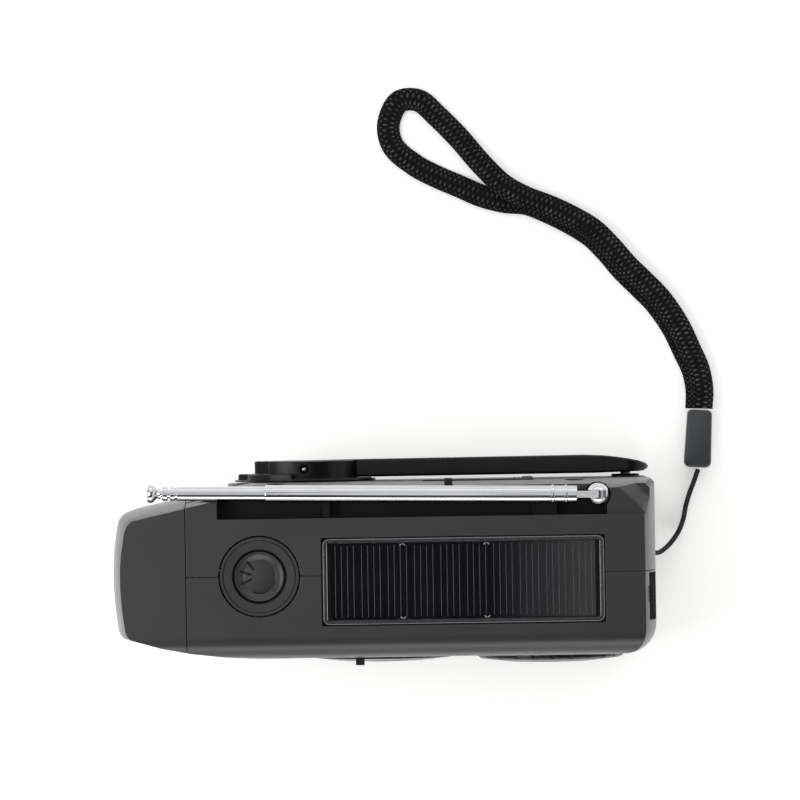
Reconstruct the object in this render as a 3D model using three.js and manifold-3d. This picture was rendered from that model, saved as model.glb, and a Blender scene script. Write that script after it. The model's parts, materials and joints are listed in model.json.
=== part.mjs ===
// Hand-crank and solar emergency radio with a flashlight head, a telescopic mast, a fold-out
// crank and a wrist strap. Millimetres, +Z up. The origin is under the middle of the radio, on
// the surface it stands on; +X runs along the length to the strap end, -Y is the front.
import * as THREE from 'three';
import { mergeVertices } from 'three/addons/utils/BufferGeometryUtils.js';
import Module from 'manifold-3d';

const wasm = await Module();
wasm.setup();

// Casing
const END_X = 65.2; // right end; the left end bulges out to -64.4
const FRONT_Y = -22.2;
const BACK_Y = 19.4;
const BASE_Z = 1.5; // underside, lifted by the feet
const TOP_Z = 60;
const WALL = 2;
const LEAN = 2.2; // how far the left end and the back lean in at the top
const END_LEAN = 1.4; // the right end leans in more, by this ratio
const LEAN_FROM = 44; // height where the lean starts
const FRONT_ROUND = 5.5; // radius of the top front edge
const GAP = 0.3; // between touching pieces
const HEAD_X = -46.6; // seam between the flashlight head and the body
const SPLIT_Y = -2.5; // seam between the front and the back shell
const MID_Z = 30;

// Mast
const PIVOT = new THREE.Vector3(51.2, 15.8, 59.6);
const MAST_YAW = THREE.MathUtils.degToRad(0.93);
const TUBE_RADII = [2.02, 1.72, 1.42, 1.12, 0.82];
const TUBE_ENDS = [78.8, 99.7, 101.3, 103.1, 104.6]; // distance of each section's end from the pivot
const RECESS = { x0: -39, x1: 53.3, y: 11.1, z: 53, rim: 55.6 };

// Crank
const HUB = new THREE.Vector3(-18.6, 22.4, 22); // where the spindle axis crosses the fold pin
const HUB_RADIUS = 13.4;
const ARM_SEAM = 11.8; // from the hub's axis to the seam between drum and arm
const ARM_END = 64.7;
const ARM_IN_Y = 20.3;
const ARM_OUT_Y = 24.5;
const KNOB_X = 59.1;
const KNOB_RADIUS = 3.5;
const KNOB_LENGTH = 14;
const MODULE = 0.7; // gear tooth size
const TEETH = { crank: 40, small: 12, big: 36 };

// Controls on the front, the top and the right end
const BUTTON = { x: -29.2, y: SPLIT_Y, ring: 9.4, radius: 6 };
const SOLAR = { x0: -14.2, x1: 52.4, y0: -14.2, y1: 6.1 };
const SPEAKER = { x: 0.1, z: 28, radius: 18.1 };
const DIAL = { x: 40.2, z: 27, radius: 17.6 };
const VOLUME = { x: -33, z: 28, radius: 8.5 };
const WINDOW = { x0: 23.5, x1: 56.5, z0: 47.4, z1: 53.4 };
const BAND_NUB = { x: -5.7, z: 50.5, width: 2.1 };
const SLIDE = { x: 64.2, y: -8.15, z: 53, width: 3.9, travel: 2 };
const PANEL = { x: 63.1, y0: -14.3, y1: -3, z0: 46, z1: 58.6 }; // recess round the slide switch
const PORTS = { x0: 10, x1: 36, z0: 37, z1: 47 };
const DOOR = { x0: 1.5, x1: 56, y0: -1.6, y1: 18 }; // slides out to the back
const SCREWS = [[6, 33], [57.4, 8], [46, 48], [-25, 48]];
const FEET = [[-40, -14], [-40, 10], [52, -14], [52, 13]]; // the last one is on the battery door
const LENS = { y: -2, z: MID_Z, radius: 11.5 };
const STRAP_POST = new THREE.Vector3(62.2, 1.6, 9);

const finish = (color, roughness, metalness = 0) =>
  new THREE.MeshStandardMaterial({ color, roughness, metalness });
const shellPlastic = finish(0x454548, 0.62);
const darkPlastic = finish(0x1c1c20, 0.4);
const chrome = finish(0xd4d6d8, 0.12, 1);
const steel = finish(0x9a9ca0, 0.35, 1);
const clearPlastic = new THREE.MeshStandardMaterial({
  color: 0xdfe4e8, roughness: 0.08, transparent: true, opacity: 0.35,
});
const solarBlack = finish(0x14141c, 0.15);
const rubber = finish(0x202022, 0.8);
const board = finish(0x1d5a35, 0.5);
const copper = finish(0x8c5a38, 0.4, 0.8);
const nylon = finish(0x161618, 0.9);
const gearPlastic = finish(0xd8d4c8, 0.5);
const paper = finish(0xe8e6dc, 0.7);

const object = new THREE.Group();

function piece(name, geometry, material, position = [0, 0, 0], rotation = [0, 0, 0]) {
  const mesh = new THREE.Mesh(geometry, material);
  mesh.name = name;
  mesh.position.set(...position);
  mesh.rotation.set(...rotation);
  object.add(mesh);
  return mesh;
}

// Solids: a closed geometry becomes a Manifold for joins and cuts, and goes back after them.
function solid(geometry) {
  const plain = geometry.clone();
  plain.deleteAttribute('normal');
  plain.deleteAttribute('uv');
  const merged = mergeVertices(plain, 1e-4);
  return new wasm.Manifold(new wasm.Mesh({
    numProp: 3,
    vertProperties: new Float32Array(merged.attributes.position.array),
    triVerts: new Uint32Array(merged.index.array),
  }));
}

function geometryOf(manifold) {
  const mesh = manifold.getMesh();
  const geometry = new THREE.BufferGeometry();
  const corners = new THREE.BufferAttribute(new Float32Array(mesh.vertProperties), 3);
  geometry.setAttribute('position', corners);
  geometry.setIndex([...mesh.triVerts]);
  geometry.computeVertexNormals();
  return geometry;
}

const cut = (body, ...tools) => tools.reduce((left, tool) => left.subtract(tool), body);
const join = (body, ...more) => more.reduce((sum, next) => sum.add(next), body);

function box(x0, x1, y0, y1, z0, z1) {
  const geometry = new THREE.BoxGeometry(x1 - x0, y1 - y0, z1 - z0);
  return geometry.translate((x0 + x1) / 2, (y0 + y1) / 2, (z0 + z1) / 2);
}

const block = (...sides) => solid(box(...sides));

// A cylinder along Y from y0 to y1, around the line at x and z.
function rodY(radius, x, z, y0, y1, sides = 32) {
  const geometry = new THREE.CylinderGeometry(radius, radius, y1 - y0, sides);
  return geometry.translate(x, (y0 + y1) / 2, z);
}

// A cylinder along Z from z0 to z1, around the line at x and y.
function rodZ(radius, x, y, z0, z1, sides = 32) {
  const geometry = new THREE.CylinderGeometry(radius, radius, z1 - z0, sides);
  return geometry.rotateX(Math.PI / 2).translate(x, y, (z0 + z1) / 2);
}

// Turns an outline of [radius, height] pairs around the Y axis; it starts and ends on the axis.
function turned(outline, sides = 32) {
  return new THREE.LatheGeometry(outline.map((p) => new THREE.Vector2(...p)), sides);
}

// Joins equal rings of points, bottom to top, into one closed skin with flat ends.
function loft(rings) {
  const count = rings[0].length;
  const positions = rings.flat().flatMap((p) => [p.x, p.y, p.z]);
  const index = [];
  for (let r = 0; r < rings.length - 1; r++) {
    for (let i = 0; i < count; i++) {
      const a = r * count + i;
      const b = r * count + ((i + 1) % count);
      index.push(a, b, b + count, a, b + count, a + count);
    }
  }
  const last = (rings.length - 1) * count;
  const flat = rings[0].map((p) => new THREE.Vector2(p.x, p.y));
  for (const [a, b, c] of THREE.ShapeUtils.triangulateShape(flat, [])) {
    index.push(a, c, b, last + a, last + b, last + c);
  }
  const geometry = new THREE.BufferGeometry();
  geometry.setAttribute('position', new THREE.Float32BufferAttribute(positions, 3));
  geometry.setIndex(index);
  return geometry;
}

// The casing seen from above, drawn smaller by an inset at the front and another elsewhere. The
// flashlight head narrows to the left; the back right corner is cut off by a given length.
function plan(front, rest, corner) {
  const y0 = FRONT_Y + front;
  const y1 = BACK_Y - rest;
  const x1 = END_X - rest * END_LEAN;
  const round = 7 - rest / 2;
  const middle = 0.4 * corner; // how far the cut's middle stays off the square corner
  const shape = new THREE.Shape();
  shape.moveTo(-20, y0);
  shape.lineTo(x1 - round, y0);
  shape.absarc(x1 - round, y0 + round, round, -Math.PI / 2, 0, false);
  shape.lineTo(x1, y1 - corner);
  shape.quadraticCurveTo(x1 - middle, y1 - middle, x1 - corner, y1);
  shape.lineTo(-31.4 - rest * 0.1, y1);
  shape.lineTo(-60.2 + rest * 0.6, 13.2 - rest);
  shape.quadraticCurveTo(-63 + rest, 12.6 - rest, -63.4 + rest, 9.5 - rest);
  shape.quadraticCurveTo(-65.4 + rest, -2, -63.4 + rest, -14.5 + front);
  shape.quadraticCurveTo(-63.2 + rest, -16.9 + front, -61.4 + rest, -17.35 + front);
  shape.quadraticCurveTo(-44, y0 - 0.4, -20, y0);
  return shape.getPoints(5).slice(0, -1);
}

const ring = (front, rest, z, corner = 1.2) =>
  plan(front, rest, corner).map((p) => new THREE.Vector3(p.x, p.y, z));

// Everything behind and below the rounded top front edge, smaller by an inset.
function behindFront(inset) {
  const y = FRONT_Y + inset;
  const radius = FRONT_ROUND - inset;
  const side = new THREE.Shape();
  side.moveTo(30, 0);
  side.lineTo(30, TOP_Z - inset);
  side.lineTo(y + radius, TOP_Z - inset);
  side.absarc(y + radius, TOP_Z - FRONT_ROUND, radius, Math.PI / 2, Math.PI, false);
  side.lineTo(y, 0);
  const geometry = new THREE.ExtrudeGeometry(side, {
    depth: 140, bevelEnabled: false, curveSegments: 10,
  });
  return solid(geometry.rotateX(Math.PI / 2).rotateZ(Math.PI / 2).translate(-70, 0, 0));
}

// The ends and the back lean in along a parabola.
const sideInset = (z) => LEAN * (Math.max(0, z - LEAN_FROM) / (TOP_Z - LEAN_FROM)) ** 2;

// A low body with a full back right corner, and a higher cap with that corner cut off.
function outerBody() {
  const foot = [ring(1.2, 1.2, BASE_Z), ring(0, 0, BASE_Z + 1.2), ring(0, 0, LEAN_FROM)];
  const low = [48, 52, RECESS.rim].map((z) => ring(0, sideInset(z), z));
  const cap = [52, RECESS.rim, 57.2, 58.6, TOP_Z].map((z) =>
    ring(0, sideInset(z), z, 3.4 + (0.75 * Math.max(0, z - RECESS.rim))));
  return join(solid(loft([...foot, ...low])), solid(loft(cap))).intersect(behindFront(0));
}

function innerSpace() {
  const floor = BASE_Z + WALL;
  return solid(loft([floor, LEAN_FROM, 49, 53.5, TOP_Z - WALL].map((z) =>
    ring(WALL, WALL + sideInset(z), z, 6)))).intersect(behindFront(WALL));
}

// The pocket that the folded crank's knob sits in, open to the back and to the right end.
const knobWell = (grow) => block(KNOB_X - KNOB_RADIUS - 0.9 - grow, END_X + 2,
  BACK_Y - KNOB_LENGTH - 0.4 - grow, BACK_Y + 2, HUB.z - 4.8 - grow, HUB.z + 4.8 + grow);

// The pocket at the right end that the strap's cord loops through.
const strapPocket = (grow) => block(60.2 - grow, END_X + 2, -0.8, 4.2 + grow,
  5.6 - grow, 12.4 + grow);

// Everything that the shells are hollowed by, less the walls around their pockets.
function bodySpace(inner) {
  const [x0, x1] = [RECESS.x0 - WALL, RECESS.x1 + 3];
  const bosses = SCREWS.map(([x, z]) => solid(rodY(4, x, z, 11.5, BACK_Y, 16)));
  return cut(
    inner.intersect(block(HEAD_X + GAP / 2 + WALL, 70, -30, 30, 0, 62)),
    block(x0, x1, RECESS.y - WALL, 30, RECESS.z - WALL, 62),
    knobWell(1.6), strapPocket(1.5),
    block(PANEL.x - 1.2, 70, PANEL.y0 - 1.2, PANEL.y1 + 1.2, PANEL.z0 - 1.2, 60),
    block(DOOR.x0 - 2, DOOR.x1 + 2, SPLIT_Y, 30, 0, 4.8),
    solid(rodZ(4.6, PIVOT.x, PIVOT.y, 47.5, 60, 16)),
    ...bosses,
  );
}

const solarHole = () => block(SOLAR.x0 - GAP, SOLAR.x1 + GAP, SOLAR.y0 - GAP, SOLAR.y1 + GAP, 56, 62);
const buttonHole = () => solid(rodZ(BUTTON.ring + GAP, BUTTON.x, BUTTON.y, 56, 62, 40));

function frontShell(body) {
  const half = body.intersect(block(HEAD_X + GAP / 2, 70, -30, SPLIT_Y - GAP / 2, 0, 62));
  const travel = SLIDE.width / 2 + SLIDE.travel + GAP;
  return cut(
    half, solarHole(), buttonHole(),
    solid(rodY(SPEAKER.radius - 2.5, SPEAKER.x, SPEAKER.z, -30, -19, 32)),
    solid(rodY(3.4, DIAL.x, DIAL.z, -30, -19, 20)),
    solid(rodY(VOLUME.radius + 0.4, VOLUME.x, VOLUME.z, -30, -17, 32)),
    block(WINDOW.x0 - GAP, WINDOW.x1 + GAP, -30, -18, WINDOW.z0 - GAP, WINDOW.z1 + GAP),
    block(BAND_NUB.x - 3.5, BAND_NUB.x + 3.5, -30, -18, BAND_NUB.z - 1.1, BAND_NUB.z + 1.1),
    block(PANEL.x, 70, PANEL.y0, PANEL.y1, PANEL.z0, PANEL.z1),
    block(58.4, 70, SLIDE.y - travel, SLIDE.y + travel, SLIDE.z - 3.4, SLIDE.z + 3.4),
  );
}

function backShell(body) {
  const half = body.intersect(block(HEAD_X + GAP / 2, 70, SPLIT_Y + GAP / 2, 30, 0, 62));
  const hubSeat = solid(rodY(18.8, HUB.x, HUB.z, 15.4, BACK_Y - 0.2, 48));
  const screwHoles = SCREWS.flatMap(([x, z]) => [
    solid(rodY(2.5, x, z, 15.6, 25, 16)), solid(rodY(1.5, x, z, 10, 25, 12))]);
  const opened = cut(
    join(half, hubSeat), solarHole(), buttonHole(),
    block(RECESS.x0, RECESS.x1, RECESS.y, BACK_Y - 2.6, RECESS.z, 62),
    block(RECESS.x0, RECESS.x1, RECESS.y, 25, RECESS.rim, 62),
    solid(rodZ(3, PIVOT.x, PIVOT.y - 0.1, RECESS.z, 62, 32)),
    block(RECESS.x1 - 4, 70, RECESS.y, 25, TOP_Z - 0.5, 62),
    block(-70, RECESS.x0 + 1, 15.2, 25, 57.2, 62),
    knobWell(0), strapPocket(0),
    solid(rodY(3.6, HUB.x, HUB.z, 10, 25, 24)),
    solid(rodZ(1.9, PIVOT.x, PIVOT.y, 48, 62, 20)),
    block(DOOR.x0 - GAP, DOOR.x1 + GAP, DOOR.y0 - GAP, 30, 0, 3.3),
    block(DOOR.x0 + 1.8, DOOR.x1 - 2, DOOR.y0 + 0.6, DOOR.y1 - 0.6, 0, 6),
    block(PORTS.x0 - GAP, PORTS.x1 + GAP, 18.2, 25, PORTS.z0 - GAP, PORTS.z1 + GAP),
    block(13, 26.6, 10, 25, 39, 45), block(27.9, 34.1, 10, 25, 40, 44),
    ...screwHoles,
  );
  const cradles = [[-13.9, -12.3], [35.9, 41.6]].map(([x0, x1]) =>
    block(x0, x1, RECESS.y - 0.5, BACK_Y - 2, RECESS.z - 0.5, 56.8));
  return join(opened, ...cradles, block(14.9, 16.8, 16.5, 18.3, 54, 57));
}

function flashlightHead(outer) {
  const inset = 2.4;
  const half = outer.intersect(block(-70, HEAD_X - GAP / 2, -30, 30, 0, 62));
  const tunnel = new THREE.CylinderGeometry(LENS.radius + 0.5, LENS.radius + 0.5, 30, 40);
  const mouth = new THREE.CylinderGeometry(LENS.radius - 0.8, LENS.radius - 0.8, 30, 40);
  return cut(
    half, solid(tunnel.rotateZ(Math.PI / 2).translate(-45 - inset, LENS.y, LENS.z)),
    solid(mouth.rotateZ(Math.PI / 2).translate(-60, LENS.y, LENS.z)),
    block(-70, RECESS.x0, 15.2, 25, 57.2, 62),
  );
}

function casing() {
  const outer = outerBody();
  const body = outer.subtract(bodySpace(innerSpace()));
  piece('front_shell', geometryOf(frontShell(body)), shellPlastic);
  piece('back_shell', geometryOf(backShell(body)), shellPlastic);
  piece('flashlight_head', geometryOf(flashlightHead(outer)), shellPlastic);
  SCREWS.forEach(([x, z], i) => {
    const outline = [[0, 0], [1.2, 0], [1.2, 5], [2.2, 5], [2.2, 7], [0, 7]];
    const head = cut(solid(turned(outline, 12)), block(-1.6, 1.6, 6.2, 8, -0.4, 0.4),
      block(-0.4, 0.4, 6.2, 8, -1.6, 1.6));
    piece(`case_screw_${i + 1}`, geometryOf(head), steel, [x, 11.2, z]);
  });
  FEET.forEach(([x, y], i) => {
    const outline = [[0, 0], [2.6, 0], [3, 0.4], [3, 1.2], [0, 1.2]];
    piece(`foot_${i + 1}`, turned(outline, 14), rubber, [x, y, 0], [Math.PI / 2, 0, 0]);
  });
}

// The lamp behind the left end: lens, parabolic reflector and its LED board, on the X axis.
function lamp() {
  const at = (x) => [x, LENS.y, LENS.z];
  const left = [0, 0, Math.PI / 2]; // the turning axis points to -X
  const lens = [[0, 0], [11.7, 0], [11.7, 0.9], [10.4, 1.3], [6, 1.6], [0, 1.8]];
  piece('lens', turned(lens, 40), clearPlastic, at(-60.4), left);
  const bowl = [[1.6, 0.4], [2.6, 0]];
  const steps = [[4.2, 1.2], [6.4, 3], [8.4, 5.6], [10.1, 9.2], [11.4, 10.4]];
  const outline = [...bowl, ...steps, [11.4, 11], [9.7, 11], ...steps.slice(0, 4).reverse()
    .map(([r, h]) => [r - 0.9, h + 0.7]), [1.6, 1], [1.6, 0.4]];
  piece('reflector', turned(outline, 24), chrome, at(-49), left);
  const led = [[0, 0], [9.5, 0], [9.5, 1.4], [1.3, 1.4], [1.3, 2.4], [0.8, 3.1], [0, 3.4]];
  piece('led_board', turned(led, 24), board, at(-46.9), left);
}

function solarPanel() {
  const { x0, x1, y0, y1 } = SOLAR;
  piece('solar_tray', box(x0 - 1.5, x1 + 1.5, y0 - 1.5, y1 + 1.5, 54.6, 55.7), darkPlastic);
  piece('solar_cell', box(x0 + 2, x1 - 2, y0 + 1.5, y1 - 1.6, 57, 57.6), solarBlack);
  const rim = 1.1;
  const plate = cut(block(x0, x1, y0, y1, 56, 60.3),
    block(x0 + rim, x1 - rim, y0 + rim, y1 - rim, 59.9, 61),
    block(x0 + rim, x1 - rim, y0 + rim, y1 - rim, 55, 58.8));
  piece('solar_cover', geometryOf(plate), clearPlastic);
}

// The flashlight button in its stepped ring on the top.
function flashlightButton() {
  const { ring: outer, radius } = BUTTON;
  const upright = [Math.PI / 2, 0, 0];
  const collar = [[6.3, 0], [outer, 0], [outer, 3.6], [8.4, 4], [8.2, 3.4], [6.6, 2.9],
    [6.3, 2.6], [6.3, 0]];
  piece('button_ring', turned(collar, 40), shellPlastic, [BUTTON.x, BUTTON.y, 56.2], upright);
  const cap = [[0, 0], [7.4, 0], [7.4, 0.8], [radius, 0.8], [radius, 4.6], [5.4, 5.1],
    [4, 4.9], [0, 4.4]];
  piece('flashlight_button', turned(cap, 40), shellPlastic, [BUTTON.x, BUTTON.y, 54.9], upright);
}

function speaker() {
  const { x, z, radius } = SPEAKER;
  const crown = [[0, 0], [radius, 0], [radius, 0.5], [radius * 0.7, 1.2], [radius * 0.35, 1.6],
    [0, 1.7]];
  const slots = [-10, -7, -4, -1, 2, 5, 8, 11].map((up) => {
    const half = Math.sqrt(15 ** 2 - up ** 2) - 1;
    return block(-half, half, -1, 4, up - 1, up + 0.4);
  });
  piece('speaker_grille', geometryOf(cut(solid(turned(crown, 40)), ...slots)), darkPlastic,
    [x, FRONT_Y - GAP, z], [0, 0, Math.PI]);
  const driver = [[0, 0], [10, 0], [10, 6.5], [15, 9.3], [16.6, 9.3], [16.6, 10.3], [14.6, 10.3],
    [5, 7.3], [0, 7.6]];
  piece('speaker', turned(driver, 32), steel, [x, FRONT_Y + WALL + 0.4 + 10.3, z],
    [0, 0, Math.PI]);
}

function tuning() {
  const { x, z, radius } = DIAL;
  const crown = [[0, -9.4], [2.9, -9.4], [2.9, 0], [radius, 0], [radius, 0.9], [radius - 0.7, 1.4],
    [radius * 0.6, 2.2], [0, 2.5]];
  const grips = Array.from({ length: 24 }, (_, i) => {
    const groove = new THREE.CylinderGeometry(0.5, 0.5, 3, 5).translate(radius + 0.15, 1, 0);
    return solid(groove.rotateY((i * Math.PI) / 12));
  });
  const thumb = solid(new THREE.SphereGeometry(9, 18, 12).translate(0, 10.4, 10.5));
  piece('tuning_dial', geometryOf(cut(solid(turned(crown, 48)), thumb, ...grips)), darkPlastic,
    [x, FRONT_Y - GAP, z], [0, 0, Math.PI]);
  piece('tuning_capacitor', box(x - 9, x + 9, -12.6, -5.2, z - 9, z + 9), clearPlastic);
  const { x0, x1, z0, z1 } = WINDOW;
  piece('dial_window', box(x0, x1, FRONT_Y - 0.2, FRONT_Y + 1, z0, z1), clearPlastic);
  piece('dial_scale', box(x0 - 1, x1 + 1, -18.9, -18.2, z0 - 1, z1 + 0.4), paper);
  const middle = (x0 + x1) / 2;
  const pointer = join(block(middle - 0.4, middle + 0.4, -20, -19.3, z0 - 0.8, z1 - 1),
    block(middle - 3, middle + 3, -20, -19.3, z0 - 1.6, z0 - 0.6));
  piece('dial_pointer', geometryOf(pointer), finish(0xd8502a, 0.5));
}

function switches() {
  const { x, z, radius } = VOLUME;
  const cap = [[0, -6.3], [2.4, -6.3], [2.4, -4.2], [radius, -4.2], [radius, -0.8],
    [radius - 0.8, -0.3], [0, -0.3]];
  const mark = block(-0.5, 0.5, -0.6, 2, 3, 7.4);
  piece('volume_knob', geometryOf(cut(solid(turned(cap, 40)), mark)), darkPlastic,
    [x, FRONT_Y, z], [0, 0, Math.PI]);
  piece('volume_pot', box(x - 6, x + 6, -15.6, -9.6, z - 6, z + 6), steel);
  const nub = BAND_NUB;
  const half = nub.width / 2;
  const lever = join(
    block(nub.x - half, nub.x + half, -24.2, -19.4, nub.z - 0.75, nub.z + 0.75),
    block(nub.x - 3.6, nub.x + 3.6, -19.8, -18.9, nub.z - 1.9, nub.z + 1.9));
  piece('band_switch', geometryOf(lever), darkPlastic);
  const w = SLIDE.width / 2;
  const ribs = [-2, -1, 0, 1, 2].map((i) => block(SLIDE.x - 0.3, END_X + 2,
    SLIDE.y + i * 0.78 - 0.15, SLIDE.y + i * 0.78 + 0.15, 40, 60));
  const actuator = join(
    block(59, SLIDE.x, SLIDE.y - w, SLIDE.y + w, SLIDE.z - 3, SLIDE.z + 3),
    block(58, 59.3, SLIDE.y - 4, SLIDE.y + 4, SLIDE.z - 4.2, SLIDE.z + 4.2));
  piece('slide_switch', geometryOf(cut(actuator, ...ribs)), darkPlastic);
}

// Sockets behind a rubber cover on the back, and the sliding battery door underneath.
function portsAndDoor() {
  const { x0, x1, z0, z1 } = PORTS;
  const cover = join(block(x0, x1, 18.5, 19.7, z0, z1), block(14.4, 25.2, 17.2, 18.8, 40.5, 43.5));
  const tab = block(x1 - 2.4, x1 + 0.1, 19.5, 20.1, 40, 44);
  piece('port_cover', geometryOf(join(cover, tab)), rubber);
  const shell = (a, b, c, d, name) => piece(name, geometryOf(
    cut(block(a, b, 6, 17, c, d), block(a + 0.5, b - 0.5, 7, 18, c + 0.5, d - 0.5))), steel);
  shell(13.3, 26.3, 39.3, 44.7, 'usb_a_socket');
  shell(28.2, 33.8, 40.3, 43.7, 'charge_socket');
  const ribs = [0, 1, 2, 3].map((i) => block(16, 40, 2 + i * 1.6, 2.8 + i * 1.6, 1, 1.9));
  piece('battery_door', geometryOf(cut(
    block(DOOR.x0, DOOR.x1, DOOR.y0, DOOR.y1, BASE_Z, 3), ...ribs)), shellPlastic);
}

function electronics() {
  const places = [[-38, -20, 16, 30], [-12, 10, 34, 48], [14, 26, 15, 25]];
  const chips = places.map(([x0, x1, z0, z1]) => block(x0, x1, -5, -3.2, z0, z1));
  piece('main_board', geometryOf(join(block(-42, 50, -4.4, -2.8, 14, 50), ...chips)), board);
  const cell = [[0, 0], [9, 0], [9, 48], [4, 48.4], [4, 49.4], [0, 49.4]];
  piece('battery', turned(cell, 28), finish(0x3560a8, 0.4), [3.5, 8, 14.2], [0, 0, -Math.PI / 2]);
}

// A spur gear's outline with involute flanks; one tooth is centred at the given angle.
function gearShape(teeth, angle, bore) {
  const pressure = THREE.MathUtils.degToRad(25);
  const involute = (a) => Math.tan(a) - a;
  const pitch = (teeth * MODULE) / 2;
  const base = pitch * Math.cos(pressure);
  const [root, tip] = [pitch - 1.05 * MODULE, pitch + 0.8 * MODULE];
  const half = Math.PI / (2 * teeth) - 0.08 / pitch;
  const spread = (r) => half + involute(pressure) - involute(Math.acos(Math.min(1, base / r)));
  const start = Math.max(root, base);
  const radii = [...new Set([root, start, pitch, tip])];
  const outline = Array.from({ length: teeth }, (_, k) => {
    const centre = angle + (k * 2 * Math.PI) / teeth;
    const flank = (side) => radii.map((r) => {
      const a = centre + side * spread(Math.max(r, start));
      return new THREE.Vector2(r * Math.cos(a), r * Math.sin(a));
    });
    return [...flank(-1), ...flank(1).reverse()];
  });
  const shape = new THREE.Shape(outline.flat());
  if (bore) shape.holes.push(new THREE.Path().absarc(0, 0, bore, 0, 2 * Math.PI, true));
  return shape;
}

// A gear with its axis along Y; it reaches from y0 down to y0 - width.
function gear(teeth, angle, width, y0, bore = 0) {
  const shape = gearShape(teeth, angle, bore);
  const geometry = new THREE.ExtrudeGeometry(shape, {
    depth: width, bevelEnabled: false, curveSegments: 10,
  });
  return geometry.rotateX(Math.PI / 2).translate(0, y0, 0);
}

// The step-up train inside: crank gear, compound idler and the generator's pinion.
function gearTrain() {
  const reach = ((TEETH.crank + TEETH.small) * MODULE) / 2;
  const next = ((TEETH.big + TEETH.small) * MODULE) / 2;
  const rise = THREE.MathUtils.degToRad(48);
  const idler = [HUB.x + reach * Math.cos(rise), HUB.z + reach * Math.sin(rise)];
  const rotor = [idler[0] + next, idler[1]];
  piece('crank_gear', gear(TEETH.crank, rise, 3, 14, 2.3), gearPlastic, [HUB.x, 0, HUB.z]);
  const pinion = solid(gear(TEETH.small, rise + Math.PI + Math.PI / TEETH.small, 3.6, 14.1));
  const wheel = solid(gear(TEETH.big, 0, 3, 10.4));
  const axle = solid(rodY(1.2, 0, 0, 4, 15.2, 16));
  piece('idler_gear', geometryOf(join(pinion, wheel, axle)), gearPlastic,
    [idler[0], 0, idler[1]]);
  const drive = solid(gear(TEETH.small, Math.PI + Math.PI / TEETH.small, 3.4, 10.6));
  piece('generator_rotor', geometryOf(join(drive, solid(rodY(1, 0, 0, -0.6, 9, 16)))), steel,
    [rotor[0], 0, rotor[1]]);
  const can = cut(solid(rodY(8.5, 0, 0, -1.6, 6, 32)), solid(rodY(1.06, 0, 0, -1, 7, 16)));
  piece('generator', geometryOf(can), copper, [rotor[0], 0, rotor[1]]);
}

// The folded crank: a slotted hub on its spindle, the arm on a pin across it, and the knob.
function crank() {
  const slot = 4.6;
  const { x, y, z } = HUB;
  const guard = cut(solid(rodY(17.1, x, z, 19.5, 21.3, 44)),
    block(x - 3, x + 30, 20.05, 30, z - 30, z + 30),
    block(x - 30, x + 30, 20, 30, z - 5.6, z + 5.6));
  // The drum and its flange step back at their left corners: [distance from the axis, y].
  const steps = [[8.6, 21.4], [13.7, 20]].flatMap(([out, step]) => [
    block(x - 30, x - out, step, 30, z + 6.2, z + 30),
    block(x - 30, x - out, step, 30, z - 30, z - 6.2)]);
  const drum = cut(
    join(solid(rodY(HUB_RADIUS, x, z, 19.6, ARM_OUT_Y - 0.1, 44)), guard),
    block(x - 30, x + 30, ARM_IN_Y - GAP, 30, z - slot, z + slot),
    block(x + ARM_SEAM, x + 30, 20.05, 30, z - 30, z + 30),
    block(x - 30, x - ARM_SEAM + 0.1, 20.05, 30, z - 5.6, z + 5.6),
    solid(rodZ(1.1, x, y, z - 15, z + 15, 16)),
    ...steps,
  );
  piece('crank_hub', geometryOf(drum), darkPlastic);
  piece('crank_spindle', turned([[0, 0], [2.2, 0], [2.2, 3.5], [3.5, 3.5], [3.5, 8.1], [0, 8.1]], 24),
    steel, [x, 11.1, z]);
  piece('crank_pin', rodZ(1, x, y, z - 12.9, z + 12.9, 16), chrome);
  crankArm(slot - GAP);
  const grip = [[0, 0], [3.3, 0], [KNOB_RADIUS, 0.4], [KNOB_RADIUS, 3], [2.9, 6],
    [KNOB_RADIUS, 11], [3.3, KNOB_LENGTH - 0.6], [2.8, KNOB_LENGTH], [0, KNOB_LENGTH]];
  const flat = [Math.PI, 0, 0];
  const hollow = solid(rodY(1.3, 0, 0, -1, 11, 16));
  piece('crank_knob', geometryOf(cut(solid(turned(grip, 28)), hollow)), darkPlastic,
    [KNOB_X, ARM_IN_Y - 0.2, z], flat);
  piece('knob_pin', rodY(1.24, KNOB_X, z, ARM_IN_Y - 9.5, ARM_IN_Y + 2.2, 16), steel);
}

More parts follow.
